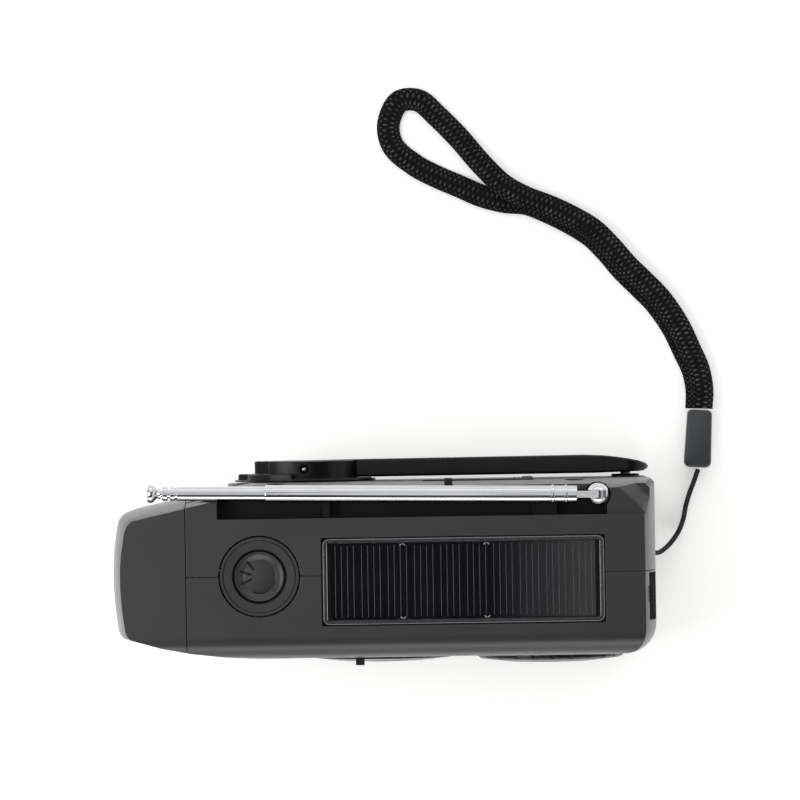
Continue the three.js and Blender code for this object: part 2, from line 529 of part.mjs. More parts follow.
function crankArm(rootHalf) {
  const { x, y, z } = HUB;
  const side = new THREE.Shape();
  side.moveTo(x, ARM_IN_Y);
  side.lineTo(KNOB_X - 9, ARM_IN_Y + 0.1);
  side.lineTo(ARM_END - 2.6, ARM_IN_Y + 0.4);
  side.quadraticCurveTo(ARM_END + 0.2, ARM_IN_Y + 0.6, ARM_END - 0.2, 22.2);
  side.quadraticCurveTo(ARM_END - 1.2, 23.6, 54, 24.6);
  side.quadraticCurveTo(43, 25.3, 28, 24.9);
  side.lineTo(x, ARM_OUT_Y);
  side.absarc(x, y, ARM_OUT_Y - y, Math.PI / 2, 1.5 * Math.PI, false);
  const slab = new THREE.ExtrudeGeometry(side, { depth: 20, bevelEnabled: false, curveSegments: 10 });
  const face = new THREE.Shape();
  face.moveTo(x - 5, -rootHalf);
  face.lineTo(x + ARM_SEAM + 0.2, -rootHalf);
  face.lineTo(x + ARM_SEAM + 0.5, -rootHalf - 0.6);
  face.lineTo(KNOB_X - 4, -6.2);
  face.absarc(ARM_END - 5.6, 0, 5.6, -Math.PI / 2, Math.PI / 2, false);
  face.lineTo(x + ARM_SEAM + 0.5, rootHalf + 0.6);
  face.lineTo(x + ARM_SEAM + 0.2, rootHalf);
  face.lineTo(x - 5, rootHalf);
  const profile = new THREE.ExtrudeGeometry(face, { depth: 20, bevelEnabled: false, curveSegments: 10 });
  const arm = solid(slab.translate(0, 0, z - 10))
    .intersect(solid(profile.rotateX(Math.PI / 2).translate(0, 30, z)));
  piece('crank_arm', geometryOf(cut(arm, solid(rodZ(1.04, x, y, 0, 50, 16)),
    solid(rodY(1.54, KNOB_X, z, 15, ARM_IN_Y + 2.6, 16)))), darkPlastic);
}

// The telescopic mast, built along -X from its pivot and then turned by its yaw.
function mast() {
  const swivel = new THREE.Group();
  swivel.position.copy(PIVOT);
  swivel.rotation.z = -MAST_YAW;
  object.add(swivel);
  const onMast = (name, geometry, material) => swivel.add(piece(name, geometry, material));
  const ball = cut(
    join(solid(new THREE.SphereGeometry(2.7, 18, 10)), solid(rodZ(1.5, 0, 0, -10.5, -1.8, 20))),
    block(-4, 1.9, -0.95, 0.95, -1.9, 4), solid(rodY(0.56, 0, 0, -4, 4, 12)));
  onMast('antenna_ball', geometryOf(ball), chrome);
  onMast('antenna_pin', rodY(0.5, 0, 0, -2.3, 2.3, 12), steel);
  TUBE_RADII.forEach((_, i) => {
    onMast(`mast_section_${i + 1}`, geometryOf(i === 0 ? baseTube() : mastTube(i)), chrome);
  });
}

// A bar along -X from the distance a to b from the pivot.
function bar(radius, a, b, sides = 16) {
  const geometry = new THREE.CylinderGeometry(radius, radius, b - a, sides);
  return solid(geometry.rotateZ(Math.PI / 2).translate(-(a + b) / 2, 0, 0));
}

function baseTube() {
  const r = TUBE_RADII[0];
  const tang = join(block(-6, 0, -0.8, 0.8, -1.6, 1.6), solid(rodY(1.6, 0, 0, -0.8, 0.8, 20)));
  const rings = [7.2, 10.3].map((a) => bar(r + 0.22, a, a + 0.8, 18));
  return cut(join(tang, bar(r, 5, TUBE_ENDS[0], 18), ...rings),
    bar(TUBE_RADII[1] + 0.06, 10, 200, 18), solid(rodY(0.54, 0, 0, -4, 4, 12)));
}

function mastTube(i) {
  const r = TUBE_RADII[i];
  const [start, end] = [11 + i * 1.5, TUBE_ENDS[i]];
  if (i < TUBE_RADII.length - 1) {
    const collar = i === 1 ? bar(r, end - 1, end) : bar(TUBE_RADII[1], end - 1.3, end);
    return cut(join(bar(r, start, end), collar), bar(TUBE_RADII[i + 1] + 0.06, start + 1.2, 200));
  }
  const tip = [[0, 0], [1.3, 0], [1.1, 0.8], [2.1, 1.8], [2.25, 2.6], [1.9, 3.2], [0, 3.4]];
  const cap = solid(turned(tip, 24).rotateZ(Math.PI / 2).translate(-TUBE_ENDS[i] + 1.1, 0, 0));
  return join(bar(r, start, end), cap);
}

// The wrist strap: a thin cord doubled around the post with its legs one above the other, a
// sleeve, and a flat braided band that leaves the sleeve and comes back to it. Middle lines,
// chosen by hand.
const CORD_DIAMETER = 1.2;
const CORD_ROUTE = [
  [65.3, 0.9, 8.6], [67.6, 0.4, 5.9], [70.3, 2.3, 2.9], [72.6, 5.2, 1.2], [74, 8.6, 0.75],
  [74.8, 12.4, 0.75], [76, 15.9, 0.85], [77.2, 19, 1.5], [77.7, 20.6, 1.8],
];
const BAND_WIDTH = 5.7;
const BAND_THICK = 1.3;
const BAND_OUT = [
  [78.7, 35.6, 3.1], [79, 40.1, 3], [78.2, 45.2, 2.75], [76.2, 50, 2.6], [73.4, 56.2, 2.55],
  [69.2, 62.6, 2.55], [65.2, 66.9, 2.55], [61, 71.1, 2.55], [57, 75.8, 2.55], [52.9, 79.9, 2.55],
  [47.6, 83.2, 2.55], [42, 85.9, 2.55], [36.2, 88.2, 2.55], [31, 91.2, 2.4], [25.8, 96.3, 1.9],
  [20.2, 103, 1.3], [14.9, 108.5, 0.95], [10.4, 112.4, 0.8],
];
const BAND_BACK = [
  [5.6, 112.2, 0.76], [2.9, 106.8, 0.76], [3.9, 101.4, 0.76], [9.3, 96.5, 0.76], [14.6, 93.6, 0.76],
  [20, 91.2, 0.76], [25.6, 88.7, 0.76], [31.2, 87.2, 0.76], [36.6, 86.6, 0.76], [42.2, 84.3, 0.76],
  [47.4, 81.6, 0.76], [52.2, 78.5, 0.76], [56, 74.7, 0.76], [59.9, 70, 0.76], [64, 65.8, 0.76],
  [68, 61.6, 0.76], [72.1, 55.5, 0.76], [74.9, 49.5, 0.78], [76.9, 45, 0.85], [77.8, 40.1, 1],
  [77.7, 35.6, 1.1],
];
const curve = (points) =>
  new THREE.CatmullRomCurve3(points.map((p) => new THREE.Vector3(...p)), false, 'centripetal');

function doubledCord() {
  const middle = curve(CORD_ROUTE);
  const leg = (lift) => Array.from({ length: 10 }, (_, i) => {
    const p = middle.getPoint(i / 9);
    return [p.x, p.y, p.z + lift];
  });
  const { x, y, z } = STRAP_POST;
  const bend = [[1.4, 1.3, 0.3], [-0.5, 1.45, 0.2], [-1.35, 0, 0], [-0.5, -1.45, -0.2],
    [1.4, -1.3, -0.3]].map(([dx, dy, dz]) => [x + dx, y + dy, z + dz]);
  return curve([...leg(1.25).reverse(), ...bend, ...leg(0)]);
}

function tube(path, shape, steps) {
  return new THREE.ExtrudeGeometry(shape, {
    steps, extrudePath: path, bevelEnabled: false, curveSegments: 2,
  });
}

function strap() {
  const { x, y } = STRAP_POST;
  piece('strap_post', rodZ(0.75, x, y, 5.9, 12.1, 16), steel);
  const circle = new THREE.Shape().absarc(0, 0, CORD_DIAMETER / 2, 0, 2 * Math.PI, false);
  const [w, t] = [BAND_THICK / 2, BAND_WIDTH / 2];
  const flat = new THREE.Shape([[-w, -t + 0.5], [-w + 0.4, -t], [w - 0.4, -t], [w, -t + 0.5],
    [w, t - 0.5], [w - 0.4, t], [-w + 0.4, t], [-w, t - 0.5]].map((p) => new THREE.Vector2(...p)));
  piece('strap_cord', tube(doubledCord(), circle, 60), nylon);
  piece('strap_band', tube(curve([...BAND_OUT, ...BAND_BACK]), flat, 66), nylon);
  const sleeve = new THREE.Shape();
  sleeve.moveTo(-2.2, -7);
  sleeve.lineTo(2.2, -7);
  sleeve.quadraticCurveTo(3.1, -7, 3.1, -5.6);
  sleeve.lineTo(3, 7);
  sleeve.lineTo(-3, 7);
  sleeve.lineTo(-3.1, -5.6);
  sleeve.quadraticCurveTo(-3.1, -7, -2.2, -7);
  piece('strap_sleeve', new THREE.ExtrudeGeometry(sleeve, {
    depth: 3.4, bevelThickness: 0.5, bevelSize: 0.4, bevelOffset: -0.4, bevelSegments: 1,
    curveSegments: 4,
  }), rubber, [77.95, 28.1, 0.5], [0, 0, -0.06]);
}

casing();
lamp();
solarPanel();
flashlightButton();
speaker();
tuning();
switches();
portsAndDoor();
electronics();
gearTrain();
crank();
mast();
strap();

export default object;
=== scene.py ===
"""Emergency radio with a flashlight head, solar panel, telescopic mast, fold-out crank and wrist strap.

Sizes are in millimetres until a mesh is made, which scales them by MM. The row frame has +X along the radio
to its strap end, -Y at the front and +Z up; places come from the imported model's own boxes.
"""

import json
import math
import random

import bmesh
import bpy
import numpy as np
from mathutils import Matrix, Vector


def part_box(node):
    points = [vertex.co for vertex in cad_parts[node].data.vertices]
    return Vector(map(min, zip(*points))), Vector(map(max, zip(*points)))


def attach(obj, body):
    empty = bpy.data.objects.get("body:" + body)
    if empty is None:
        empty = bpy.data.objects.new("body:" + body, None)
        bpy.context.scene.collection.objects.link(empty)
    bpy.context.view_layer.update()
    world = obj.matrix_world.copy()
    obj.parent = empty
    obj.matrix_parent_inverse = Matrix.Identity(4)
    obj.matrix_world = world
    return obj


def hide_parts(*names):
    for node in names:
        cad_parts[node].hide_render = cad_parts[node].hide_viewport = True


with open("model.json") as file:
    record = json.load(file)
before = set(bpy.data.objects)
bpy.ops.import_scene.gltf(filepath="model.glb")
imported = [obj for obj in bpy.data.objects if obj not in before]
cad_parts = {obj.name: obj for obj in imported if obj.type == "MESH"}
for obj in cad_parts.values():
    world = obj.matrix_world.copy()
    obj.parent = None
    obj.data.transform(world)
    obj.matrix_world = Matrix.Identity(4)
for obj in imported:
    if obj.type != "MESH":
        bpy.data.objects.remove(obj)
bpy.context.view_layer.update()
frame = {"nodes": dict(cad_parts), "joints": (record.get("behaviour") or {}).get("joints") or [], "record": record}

MM = 0.001
BODY_OF = {node: body for body, nodes in frame["record"]["behaviour"]["bodies"].items() for node in nodes}
SLOT_OF = {entry["node"]: entry["material_slot"] for entry in frame["record"]["subparts"]}
UP = Vector((0, 0, 1))


# ---- Camera ----------------------------------------------------------

CAMERA_PLACE = (0.0047, 0.03877, 1.5)
CAMERA_TURN = -0.87
CAMERA_LENS, CAMERA_SENSOR = 274, 36


def camera():
    """Straight above the radio, turned a little."""
    data = bpy.data.cameras.new("camera")
    data.lens = CAMERA_LENS
    data.sensor_width = CAMERA_SENSOR
    made = placed("camera", data)
    made.location = CAMERA_PLACE
    made.rotation_euler = (0, 0, math.radians(CAMERA_TURN))
    bpy.context.scene.camera = made


# ---- Materials -------------------------------------------------------

class Finish:
    """A Principled material with procedural detail added to it, all in object space."""

    def __init__(self, name, color, roughness, metallic=0.0, **constants):
        self.material = bpy.data.materials.new(name)
        self.material.use_nodes = True
        self.nodes = self.material.node_tree.nodes
        self.links = self.material.node_tree.links
        self.shader = self.nodes["Principled BSDF"]
        self.set("Base Color", (*color, 1))
        self.set("Roughness", roughness)
        self.set("Metallic", metallic)
        for socket, value in constants.items():
            self.set(socket.replace("_", " "), value)
        self.height = None

    def set(self, socket, value):
        """Gives a shader socket a constant value."""
        self.shader.inputs[socket].default_value = value

    def node(self, kind, **settings):
        """A new node with its settings."""
        made = self.nodes.new(kind)
        for key, value in settings.items():
            setattr(made, key, value)
        return made

    def noise(self, size, detail=2.0, stretch=(1, 1, 1)):
        """Noise whose features are about size millimetres across, times stretch along each axis."""
        place = self.node("ShaderNodeMapping")
        place.inputs["Scale"].default_value = [1 / (size * MM * s) for s in stretch]
        texture = self.node("ShaderNodeTexNoise")
        texture.inputs["Scale"].default_value = 1.0
        texture.inputs["Detail"].default_value = detail
        coordinates = self.node("ShaderNodeTexCoord")
        self.links.new(coordinates.outputs["Object"], place.inputs["Vector"])
        self.links.new(place.outputs["Vector"], texture.inputs["Vector"])
        return texture.outputs["Fac"]

    def attribute(self, name):
        """A value stored on the mesh."""
        return self.node("ShaderNodeAttribute", attribute_name=name).outputs["Fac"]

    def waves(self, *factors):
        """The product of a sine wave of each factor, from -1 to 1; a factor of 1 is a whole wave."""
        product = None
        for factor in factors:
            turn = self.math("MULTIPLY", factor, 2 * math.pi)
            wave = self.math("SINE", turn)
            product = self.math("MULTIPLY", product, wave) if product else wave
        return product

    def math(self, operation, *values):
        """A math node over numbers or sockets."""
        made = self.node("ShaderNodeMath", operation=operation)
        for socket, value in zip(made.inputs, values):
            if isinstance(value, (int, float)):
                socket.default_value = value
            else:
                self.links.new(value, socket)
        return made.outputs["Value"]

    def ramp(self, factor, low, high, start=0.3, end=0.7):
        """Turns a factor into low before start and high after end."""
        spread = self.node("ShaderNodeMapRange")
        for socket, value in zip(("From Min", "From Max", "To Min", "To Max"), (start, end, low, high)):
            spread.inputs[socket].default_value = value
        self.links.new(factor, spread.inputs["Value"])
        return spread.outputs["Result"]

    def vary(self, socket, factor, low, high, start=0.3, end=0.7):
        """Drives a shader socket between low and high by a factor."""
        self.links.new(self.ramp(factor, low, high, start, end), self.shader.inputs[socket])
        return self

    def tint(self, factor, dark, light, start=0.3, end=0.7):
        """Base colour between dark and light by a factor."""
        mix = self.node("ShaderNodeMix", data_type="RGBA")
        mix.inputs["A"].default_value = (*dark, 1)
        mix.inputs["B"].default_value = (*light, 1)
        self.links.new(self.ramp(factor, 0, 1, start, end), mix.inputs["Factor"])
        self.links.new(mix.outputs["Result"], self.shader.inputs["Base Color"])
        return self

    def relief(self, factor, depth, strength=0.5):
        """Adds a bump of that depth in millimetres on top of any before it."""
        bump = self.node("ShaderNodeBump")
        bump.inputs["Distance"].default_value = depth * MM
        bump.inputs["Strength"].default_value = strength
        self.links.new(factor, bump.inputs["Height"])
        if self.height:
            self.links.new(self.height, bump.inputs["Normal"])
        self.height = bump.outputs["Normal"]
        self.links.new(self.height, self.shader.inputs["Normal"])
        return self


def shade(color, by):
    """A colour made lighter or darker."""
    return tuple(min(1.0, v * by) for v in color)


def moulded(name, color, roughness, grain=0.35, depth=0.02, spread=0.08, **constants):
    """Injection-moulded plastic: fine spark-eroded grain, and a slow drift of tone and gloss."""
    made = Finish(name, color, roughness, **constants)
    made.tint(made.noise(14, 3), shade(color, 0.88), shade(color, 1.12))
    made.vary("Roughness", made.noise(6, 4), roughness - spread, roughness + spread)
    made.relief(made.noise(grain, 3), depth, 0.6)
    return made.material


def polished(name, color, roughness, along=(1, 1, 1)):
    """Plated or polished metal with faint marks drawn out along one axis."""
    made = Finish(name, color, roughness, metallic=1.0)
    marks = made.noise(0.25, 2, along)
    made.vary("Roughness", marks, roughness, roughness + 0.09, 0.45, 0.8)
    made.tint(made.noise(9, 2), shade(color, 0.93), color)
    made.relief(marks, 0.004, 0.25)
    return made.material


def clear(name, alpha, color=(0.8, 0.85, 0.9), roughness=0.06):
    """Clear plastic that shows what lies under it and keeps some gloss."""
    made = Finish(name, color, roughness, Alpha=alpha, IOR=1.49, Coat_Weight=0.5, Coat_Roughness=0.03)
    made.vary("Roughness", made.noise(3, 3), roughness, roughness + 0.06)
    made.relief(made.noise(7, 1), 0.01, 0.2)
    return made.material


def rubbery(name, color):
    """Dull rubber with a fine, slightly dusty grain."""
    made = Finish(name, color, 0.8, Sheen_Weight=0.15)
    made.tint(made.noise(5, 4), shade(color, 0.8), shade(color, 1.25))
    made.vary("Roughness", made.noise(1.2, 3), 0.7, 0.9)
    made.relief(made.noise(0.5, 3), 0.03, 0.5)
    return made.material


def braided(name, dark, light):
    """Braided nylon: a painted highlight lightens the base colour on the crown of each crossing strand, and fine
    filaments run through it.
    """
    made = Finish(name, dark, 0.75, Sheen_Weight=0.02, Sheen_Roughness=0.4, Specular_IOR_Level=0.12)
    crowns = made.waves(made.attribute("along"), made.attribute("across"))
    # painted highlight: the crowns of the crossings are tinted towards the light colour, varied in strength by
    # noise
    crown_highlight = made.math("MULTIPLY", crowns, made.ramp(made.noise(2.2, 2), 0.45, 1.3))
    made.tint(crown_highlight, dark, light, 0.25, 1.0)
    made.vary("Roughness", made.noise(0.4, 2), 0.6, 0.85)
    made.relief(crowns, 0.08, 0.6)
    made.relief(made.noise(0.16, 2, (1, 1, 0.4)), 0.04, 0.6)
    return made.material


def solar_glass():
    """The dark cell: a blue-black sheet under a hard clear coat, with painted reflection: lighter patches in its
    base colour stand in for soft reflections on the coat.
    """
    made = Finish("solar_cell", (0.002, 0.002, 0.004), 0.5, Coat_Weight=1.0, Coat_Roughness=0.02,
                  Specular_IOR_Level=0.05)
    # painted reflection: slow lighter patches in the base colour
    made.tint(made.noise(18, 2, (1, 0.5, 1)), (0.001, 0.001, 0.0025), (0.003, 0.003, 0.0065))
    made.vary("Roughness", made.noise(2, 3), 0.4, 0.6)
    made.relief(made.noise(6, 1), 0.002, 0.2)
    return made.material


def circuit(name):
    """Green solder mask with copper tracks under it."""
    made = Finish(name, (0.01, 0.09, 0.035), 0.3, Coat_Weight=0.6)
    tracks = made.node("ShaderNodeTexBrick")
    place = made.node("ShaderNodeMapping")
    place.inputs["Scale"].default_value = (160, 160, 160)
    place.inputs["Rotation"].default_value = (math.radians(90), 0, 0)
    made.links.new(made.node("ShaderNodeTexCoord").outputs["Object"], place.inputs["Vector"])
    made.links.new(place.outputs["Vector"], tracks.inputs["Vector"])
    tracks.inputs["Mortar Size"].default_value = 0.06
    tracks.inputs["Scale"].default_value = 1.0
    made.tint(tracks.outputs["Fac"], (0.01, 0.09, 0.035), (0.03, 0.2, 0.07), 0.2, 0.8)
    made.relief(tracks.outputs["Fac"], 0.03, 0.5)
    return made.material


def all_finishes():
    """Every finish by its name."""
    shell = {"Specular_IOR_Level": 0.1, "Coat_Weight": 0.85, "Coat_Roughness": 0.38}
    return {
        "shell": moulded("shell_plastic", (0.0165, 0.0165, 0.0185), 0.45, **shell),
        "head": moulded("head_plastic", (0.0185, 0.0185, 0.019), 0.45, **shell),
        "ring": moulded("ring_plastic", (0.0155, 0.0155, 0.017), 0.42, **shell),
        # painted shade: a blacker material on the faces of the mast's recess, standing in for the shade there
        "well": moulded("well_painted_shade", (0.006, 0.006, 0.008), 0.6, Specular_IOR_Level=0.2),
        "gloss": moulded("black_plastic", (0.005, 0.005, 0.0065), 0.26, 0.8, 0.008, 0.05,
                         Specular_IOR_Level=0.22),
        "matte": moulded("matte_black", (0.008, 0.008, 0.01), 0.55, Specular_IOR_Level=0.3),
        "sign": moulded("sign_plastic", (0.004, 0.004, 0.005), 0.5, Specular_IOR_Level=0.2),
        "chrome": polished("chrome", (0.6, 0.61, 0.63), 0.05, (30, 1, 1)),
        "mirror": polished("reflector_chrome", (0.88, 0.88, 0.88), 0.04),
        "steel": polished("steel", (0.5, 0.5, 0.52), 0.28, (1, 1, 6)),
        "clear": clear("clear_plastic", 0.16),
        "pane": clear("clear_pane", 0.02, (0.04, 0.045, 0.05)),
        "rim": clear("clear_rim", 0.22, (0.1, 0.1, 0.11), 0.12),
        # painted highlight: light grey clear plastic for the lines that stand in for the rim's shining edges
        "edge": clear("clear_edge_highlight", 0.4, (0.5, 0.51, 0.53), 0.2),
        "lens": clear("lens_plastic", 0.3, (0.9, 0.92, 0.95)),
        "cell": solar_glass(),
        "finger": polished("printed_silver", (0.135, 0.135, 0.145), 0.45, (1, 20, 1)),
        "rubber": rubbery("rubber", (0.02, 0.02, 0.021)),
        "sleeve": moulded("sleeve_rubber", (0.032, 0.035, 0.04), 0.45, 0.6, 0.02),
        # the lighter colour of each braid is its painted crown highlight
        "braid": braided("braided_nylon", (0.004, 0.004, 0.0048), (0.1, 0.1, 0.104)),
        "cord": braided("cord_nylon", (0.022, 0.022, 0.024), (0.17, 0.17, 0.175)),
        "circuit": circuit("circuit_board"),
        "copper": polished("copper", (0.75, 0.38, 0.2), 0.3, (1, 8, 1)),
        "acetal": moulded("gear_plastic", (0.62, 0.6, 0.52), 0.45),
        "card": moulded("scale_card", (0.72, 0.7, 0.62), 0.7, 0.5, 0.01),
        "ink": moulded("ink", (0.02, 0.02, 0.025), 0.6),
        "white": moulded("white_paint", (0.65, 0.65, 0.64), 0.5),
        "orange": moulded("pointer_orange", (0.7, 0.1, 0.02), 0.45),
        "wrap": moulded("battery_wrap", (0.03, 0.1, 0.36), 0.35, 2.0, 0.02),
        "led": moulded("led_phosphor", (0.75, 0.62, 0.1), 0.4),
        "cloth": moulded("speaker_cloth", (0.014, 0.014, 0.015), 0.9, 0.3, 0.1),
    }


# ---- Mesh helpers ----------------------------------------------------

def box_of(node):
    """A CAD node's lowest and highest corners in millimetres."""
    return [Vector(corner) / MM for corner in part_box(node)]


def span_of(node):
    """A CAD node's lowest corner, highest corner and middle in millimetres."""
    low, high = box_of(node)
    return low, high, (low + high) / 2


def centre_of(node):
    """The middle of a CAD node's box in millimetres."""
    return span_of(node)[2]


def mesh_of(shape, name):
    """A mesh from a bmesh, which is freed."""
    mesh = bpy.data.meshes.new(name)
    shape.to_mesh(mesh)
    shape.free()
    return mesh


def evaluated(made):
    """A new mesh of an object with its modifiers applied."""
    bpy.context.view_layer.update()
    return bpy.data.meshes.new_from_object(made.evaluated_get(bpy.context.evaluated_depsgraph_get()))


def placed(name, data):
    """A new object in the scene."""
    made = bpy.data.objects.new(name, data)
    bpy.context.collection.objects.link(made)
    return made


def piece(name, shape, finish, body, slot, replaces=(), bevel=0.0, segments=2, smooth=38, scale=MM):
    """A piece from a bmesh in millimetres, in a named finish, its edges rounded by bevel millimetres."""
    shape.transform(Matrix.Scale(scale, 4))
    bmesh.ops.recalc_face_normals(shape, faces=shape.faces)
    mesh = mesh_of(shape, name)
    for face in mesh.polygons:
        face.use_smooth = True
    mesh.set_sharp_from_angle(angle=math.radians(smooth))
    mesh.materials.append(FINISH[finish])
    made = placed(name, mesh)
    if bevel:
        rounding = made.modifiers.new("rounding", "BEVEL")
        rounding.width = bevel * MM
        rounding.segments = segments
        rounding.limit_method = "ANGLE"
        rounding.angle_limit = math.radians(smooth)
        rounding.use_clamp_overlap = False
        rounding.miter_outer = "MITER_ARC"
        even = made.modifiers.new("even", "WEIGHTED_NORMAL")
        even.keep_sharp = False
    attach(made, body)
    if replaces:
        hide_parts(*replaces)
    return made


def like(node, name, shape, finish, **options):
    """A piece that stands for one CAD node, on its body."""
    return piece(name, shape, finish, BODY_OF[node], SLOT_OF[node], replaces=(node,), **options)


def detail(node, name, shape, finish, **options):
    """A piece that sits on a CAD node and moves with it."""
    return piece(name, shape, finish, BODY_OF[node], SLOT_OF[node], **options)


def shape_of(node, merge=0.05, flat=0.6):
    """A CAD node's mesh in millimetres, with its flat faces whole and its slivers closed up."""
    shape = bmesh.new()
    shape.from_mesh(frame["nodes"][node].data)
    shape.transform(Matrix.Scale(1 / MM, 4))
    bmesh.ops.remove_doubles(shape, verts=shape.verts, dist=merge)
    bmesh.ops.dissolve_degenerate(shape, edges=shape.edges, dist=merge / 2)
    bmesh.ops.dissolve_limit(shape, angle_limit=math.radians(flat), verts=shape.verts, edges=shape.edges)
    return shape


def rings(loops, closed=False, capped=True):
    """Joins equal loops of points into a skin; closed joins the last loop to the first."""
    shape = bmesh.new()
    made = [[shape.verts.new(p) for p in loop] for loop in loops]
    count = len(made[0])
    pairs = list(zip(made, made[1:])) + ([(made[-1], made[0])] if closed else [])
    for a, b in pairs:
        for i in range(count):
            j = (i + 1) % count
            shape.faces.new((a[i], a[j], b[j], b[i]))
    if capped and not closed:
        shape.faces.new(made[0])
        shape.faces.new(made[-1])
    return shape


def lathe(outline, foot, axis=(0, 0, 1), sides=64):
    """Turns [radius, height] pairs round an axis through foot; a radius of 0 closes on the axis."""
    axis = Vector(axis).normalized()
    side = axis.orthogonal().normalized()
    other = axis.cross(side)
    shape = bmesh.new()
    loops = []
    for radius, height in outline:
        middle = Vector(foot) + axis * height
        if radius == 0:
            loops.append([shape.verts.new(middle)])
            continue
        angles = [2 * math.pi * i / sides for i in range(sides)]
        points = [middle + side * radius * math.cos(a) + other * radius * math.sin(a) for a in angles]
        loops.append([shape.verts.new(p) for p in points])
    for a, b in zip(loops, loops[1:]):
        for i in range(sides):
            j = (i + 1) % sides
            corners = [a[i % len(a)], a[j % len(a)], b[j % len(b)], b[i % len(b)]]
            shape.faces.new(list(dict.fromkeys(corners)))
    return shape


def cuboid(low, high, shape=None, turn=None):
    """A box between two corners, added to a shape if one is given; turn is a matrix about its middle."""
    shape = shape or bmesh.new()
    low, high = Vector(low), Vector(high)
    size = Matrix.Diagonal((*(high - low), 1))
    place = Matrix.Translation((low + high) / 2) @ (turn or Matrix()) @ size
    bmesh.ops.create_cube(shape, size=1, matrix=place)
    return shape


def rounded(low, high, radius, z0, z1, steps=6):
    """A slab with round corners between z0 and z1."""
    return rings([round_corners(low, high, 0, radius, z, steps) for z in (z0, z1)])


def merged(*shapes):
    """Several bmeshes in one."""
    total = bmesh.new()
    for shape in shapes:
        mesh = mesh_of(shape, "part")
        total.from_mesh(mesh)
        bpy.data.meshes.remove(mesh)
    return total


def cut_away(shape, *cutters):
    """A shape less its cutters, by Blender's exact boolean."""
    objects = []
    for part in (shape, *cutters):
        bmesh.ops.recalc_face_normals(part, faces=part.faces)
        objects.append(placed("solid", mesh_of(part, "solid")))
    body, *tools = objects
    for tool in tools:
        carve = body.modifiers.new("carve", "BOOLEAN")
        carve.operation = "DIFFERENCE"
        carve.solver = "EXACT"
        carve.object = tool
    result = evaluated(body)
    left = bmesh.new()
    left.from_mesh(result)
    bpy.data.meshes.remove(result)
    for made in objects:
        mesh = made.data
        bpy.data.objects.remove(made)
        bpy.data.meshes.remove(mesh)
    return left


def wire(points, radius, sides=8):
    """A round bar along points, with flat ends."""
    points = [Vector(p) for p in points]
    loops = []
    for i, p in enumerate(points):
        along = (points[min(i + 1, len(points) - 1)] - points[max(i - 1, 0)]).normalized()
        side = along.orthogonal().normalized() if abs(along.z) > 0.9 else UP.cross(along).normalized()
        over = along.cross(side)
        turns = [2 * math.pi * k / sides for k in range(sides)]
        loops.append([p + (side * math.cos(a) + over * math.sin(a)) * radius for a in turns])
    return rings(loops)


def arc(middle, radius, start, end, steps=16):
    """Points on a level arc, in degrees."""
    turns = [math.radians(start + (end - start) * i / steps) for i in range(steps + 1)]
    return [(middle[0] + radius * math.cos(a), middle[1] + radius * math.sin(a), middle[2]) for a in turns]


def frame_of(low, high, radius, profile, steps=6):
    """A rounded rectangular frame: profile is a closed list of [inset, height]."""
    loops = [round_corners(low, high, inset, max(LEAST_RADIUS, radius - inset), z, steps)
             for inset, z in profile]
    return rings(loops, closed=True)


LEAST_RADIUS = 0.3


def round_corners(low, high, inset, radius, z, steps):
    """One level loop round a rectangle that is set in from two corners, with round corners."""
    (x0, y0), (x1, y1) = low, high
    reach = inset + radius
    corners = [(x1 - reach, y1 - reach, 0), (x0 + reach, y1 - reach, 90),
               (x0 + reach, y0 + reach, 180), (x1 - reach, y0 + reach, 270)]
    loop = []
    for x, y, start in corners:
        loop += [Vector(p) for p in arc((x, y, z), radius, start, start + 90, steps)]
    return loop


def lettering(text, middle, height):
    """Raised numerals on a face that looks to the front, as a bmesh in millimetres."""
    curve = bpy.data.curves.new("numerals", "FONT")
    curve.body = text
    curve.size = height
    curve.extrude = 0.03
    curve.align_x = "CENTER"
    curve.align_y = "CENTER"
    made = placed("numerals", curve)
    mesh = evaluated(made)
    shape = bmesh.new()
    shape.from_mesh(mesh)
    shape.transform(Matrix.Translation(middle) @ Matrix.Rotation(math.radians(90), 4, "X"))
    bpy.data.objects.remove(made)
    bpy.data.curves.remove(curve)
    bpy.data.meshes.remove(mesh)
    return shape


def spline(points, steps):
    """A centripetal Catmull-Rom curve through points, as steps + 1 samples at equal distances."""
    given = [Vector(p) for p in points]
    ends = [2 * given[0] - given[1], *given, 2 * given[-1] - given[-2]]
    dense = []
    for a, b, c, d in zip(ends, ends[1:], ends[2:], ends[3:]):
        times = [0.0]
        for p, q in ((a, b), (b, c), (c, d)):
            times.append(times[-1] + max(1e-6, (q - p).length ** 0.5))
        t0, t1, t2, t3 = times
        for i in range(24):
            t = t1 + (t2 - t1) * i / 24
            ab = a.lerp(b, (t - t0) / (t1 - t0))
            bc = b.lerp(c, (t - t1) / (t2 - t1))
            cd = c.lerp(d, (t - t2) / (t3 - t2))
            left = ab.lerp(bc, (t - t0) / (t2 - t0))
            right = bc.lerp(cd, (t - t1) / (t3 - t1))
            dense.append(left.lerp(right, (t - t1) / (t2 - t1)))
    dense.append(given[-1])
    lengths = np.concatenate([[0], np.cumsum([(q - p).length for p, q in zip(dense, dense[1:])])])
    spots = np.linspace(0, lengths[-1], steps + 1)
    axes = [np.interp(spots, lengths, [p[k] for p in dense]) for k in range(3)]
    return [Vector(p) for p in zip(*axes)], float(lengths[-1])


# ---- The wrist strap -------------------------------------------------

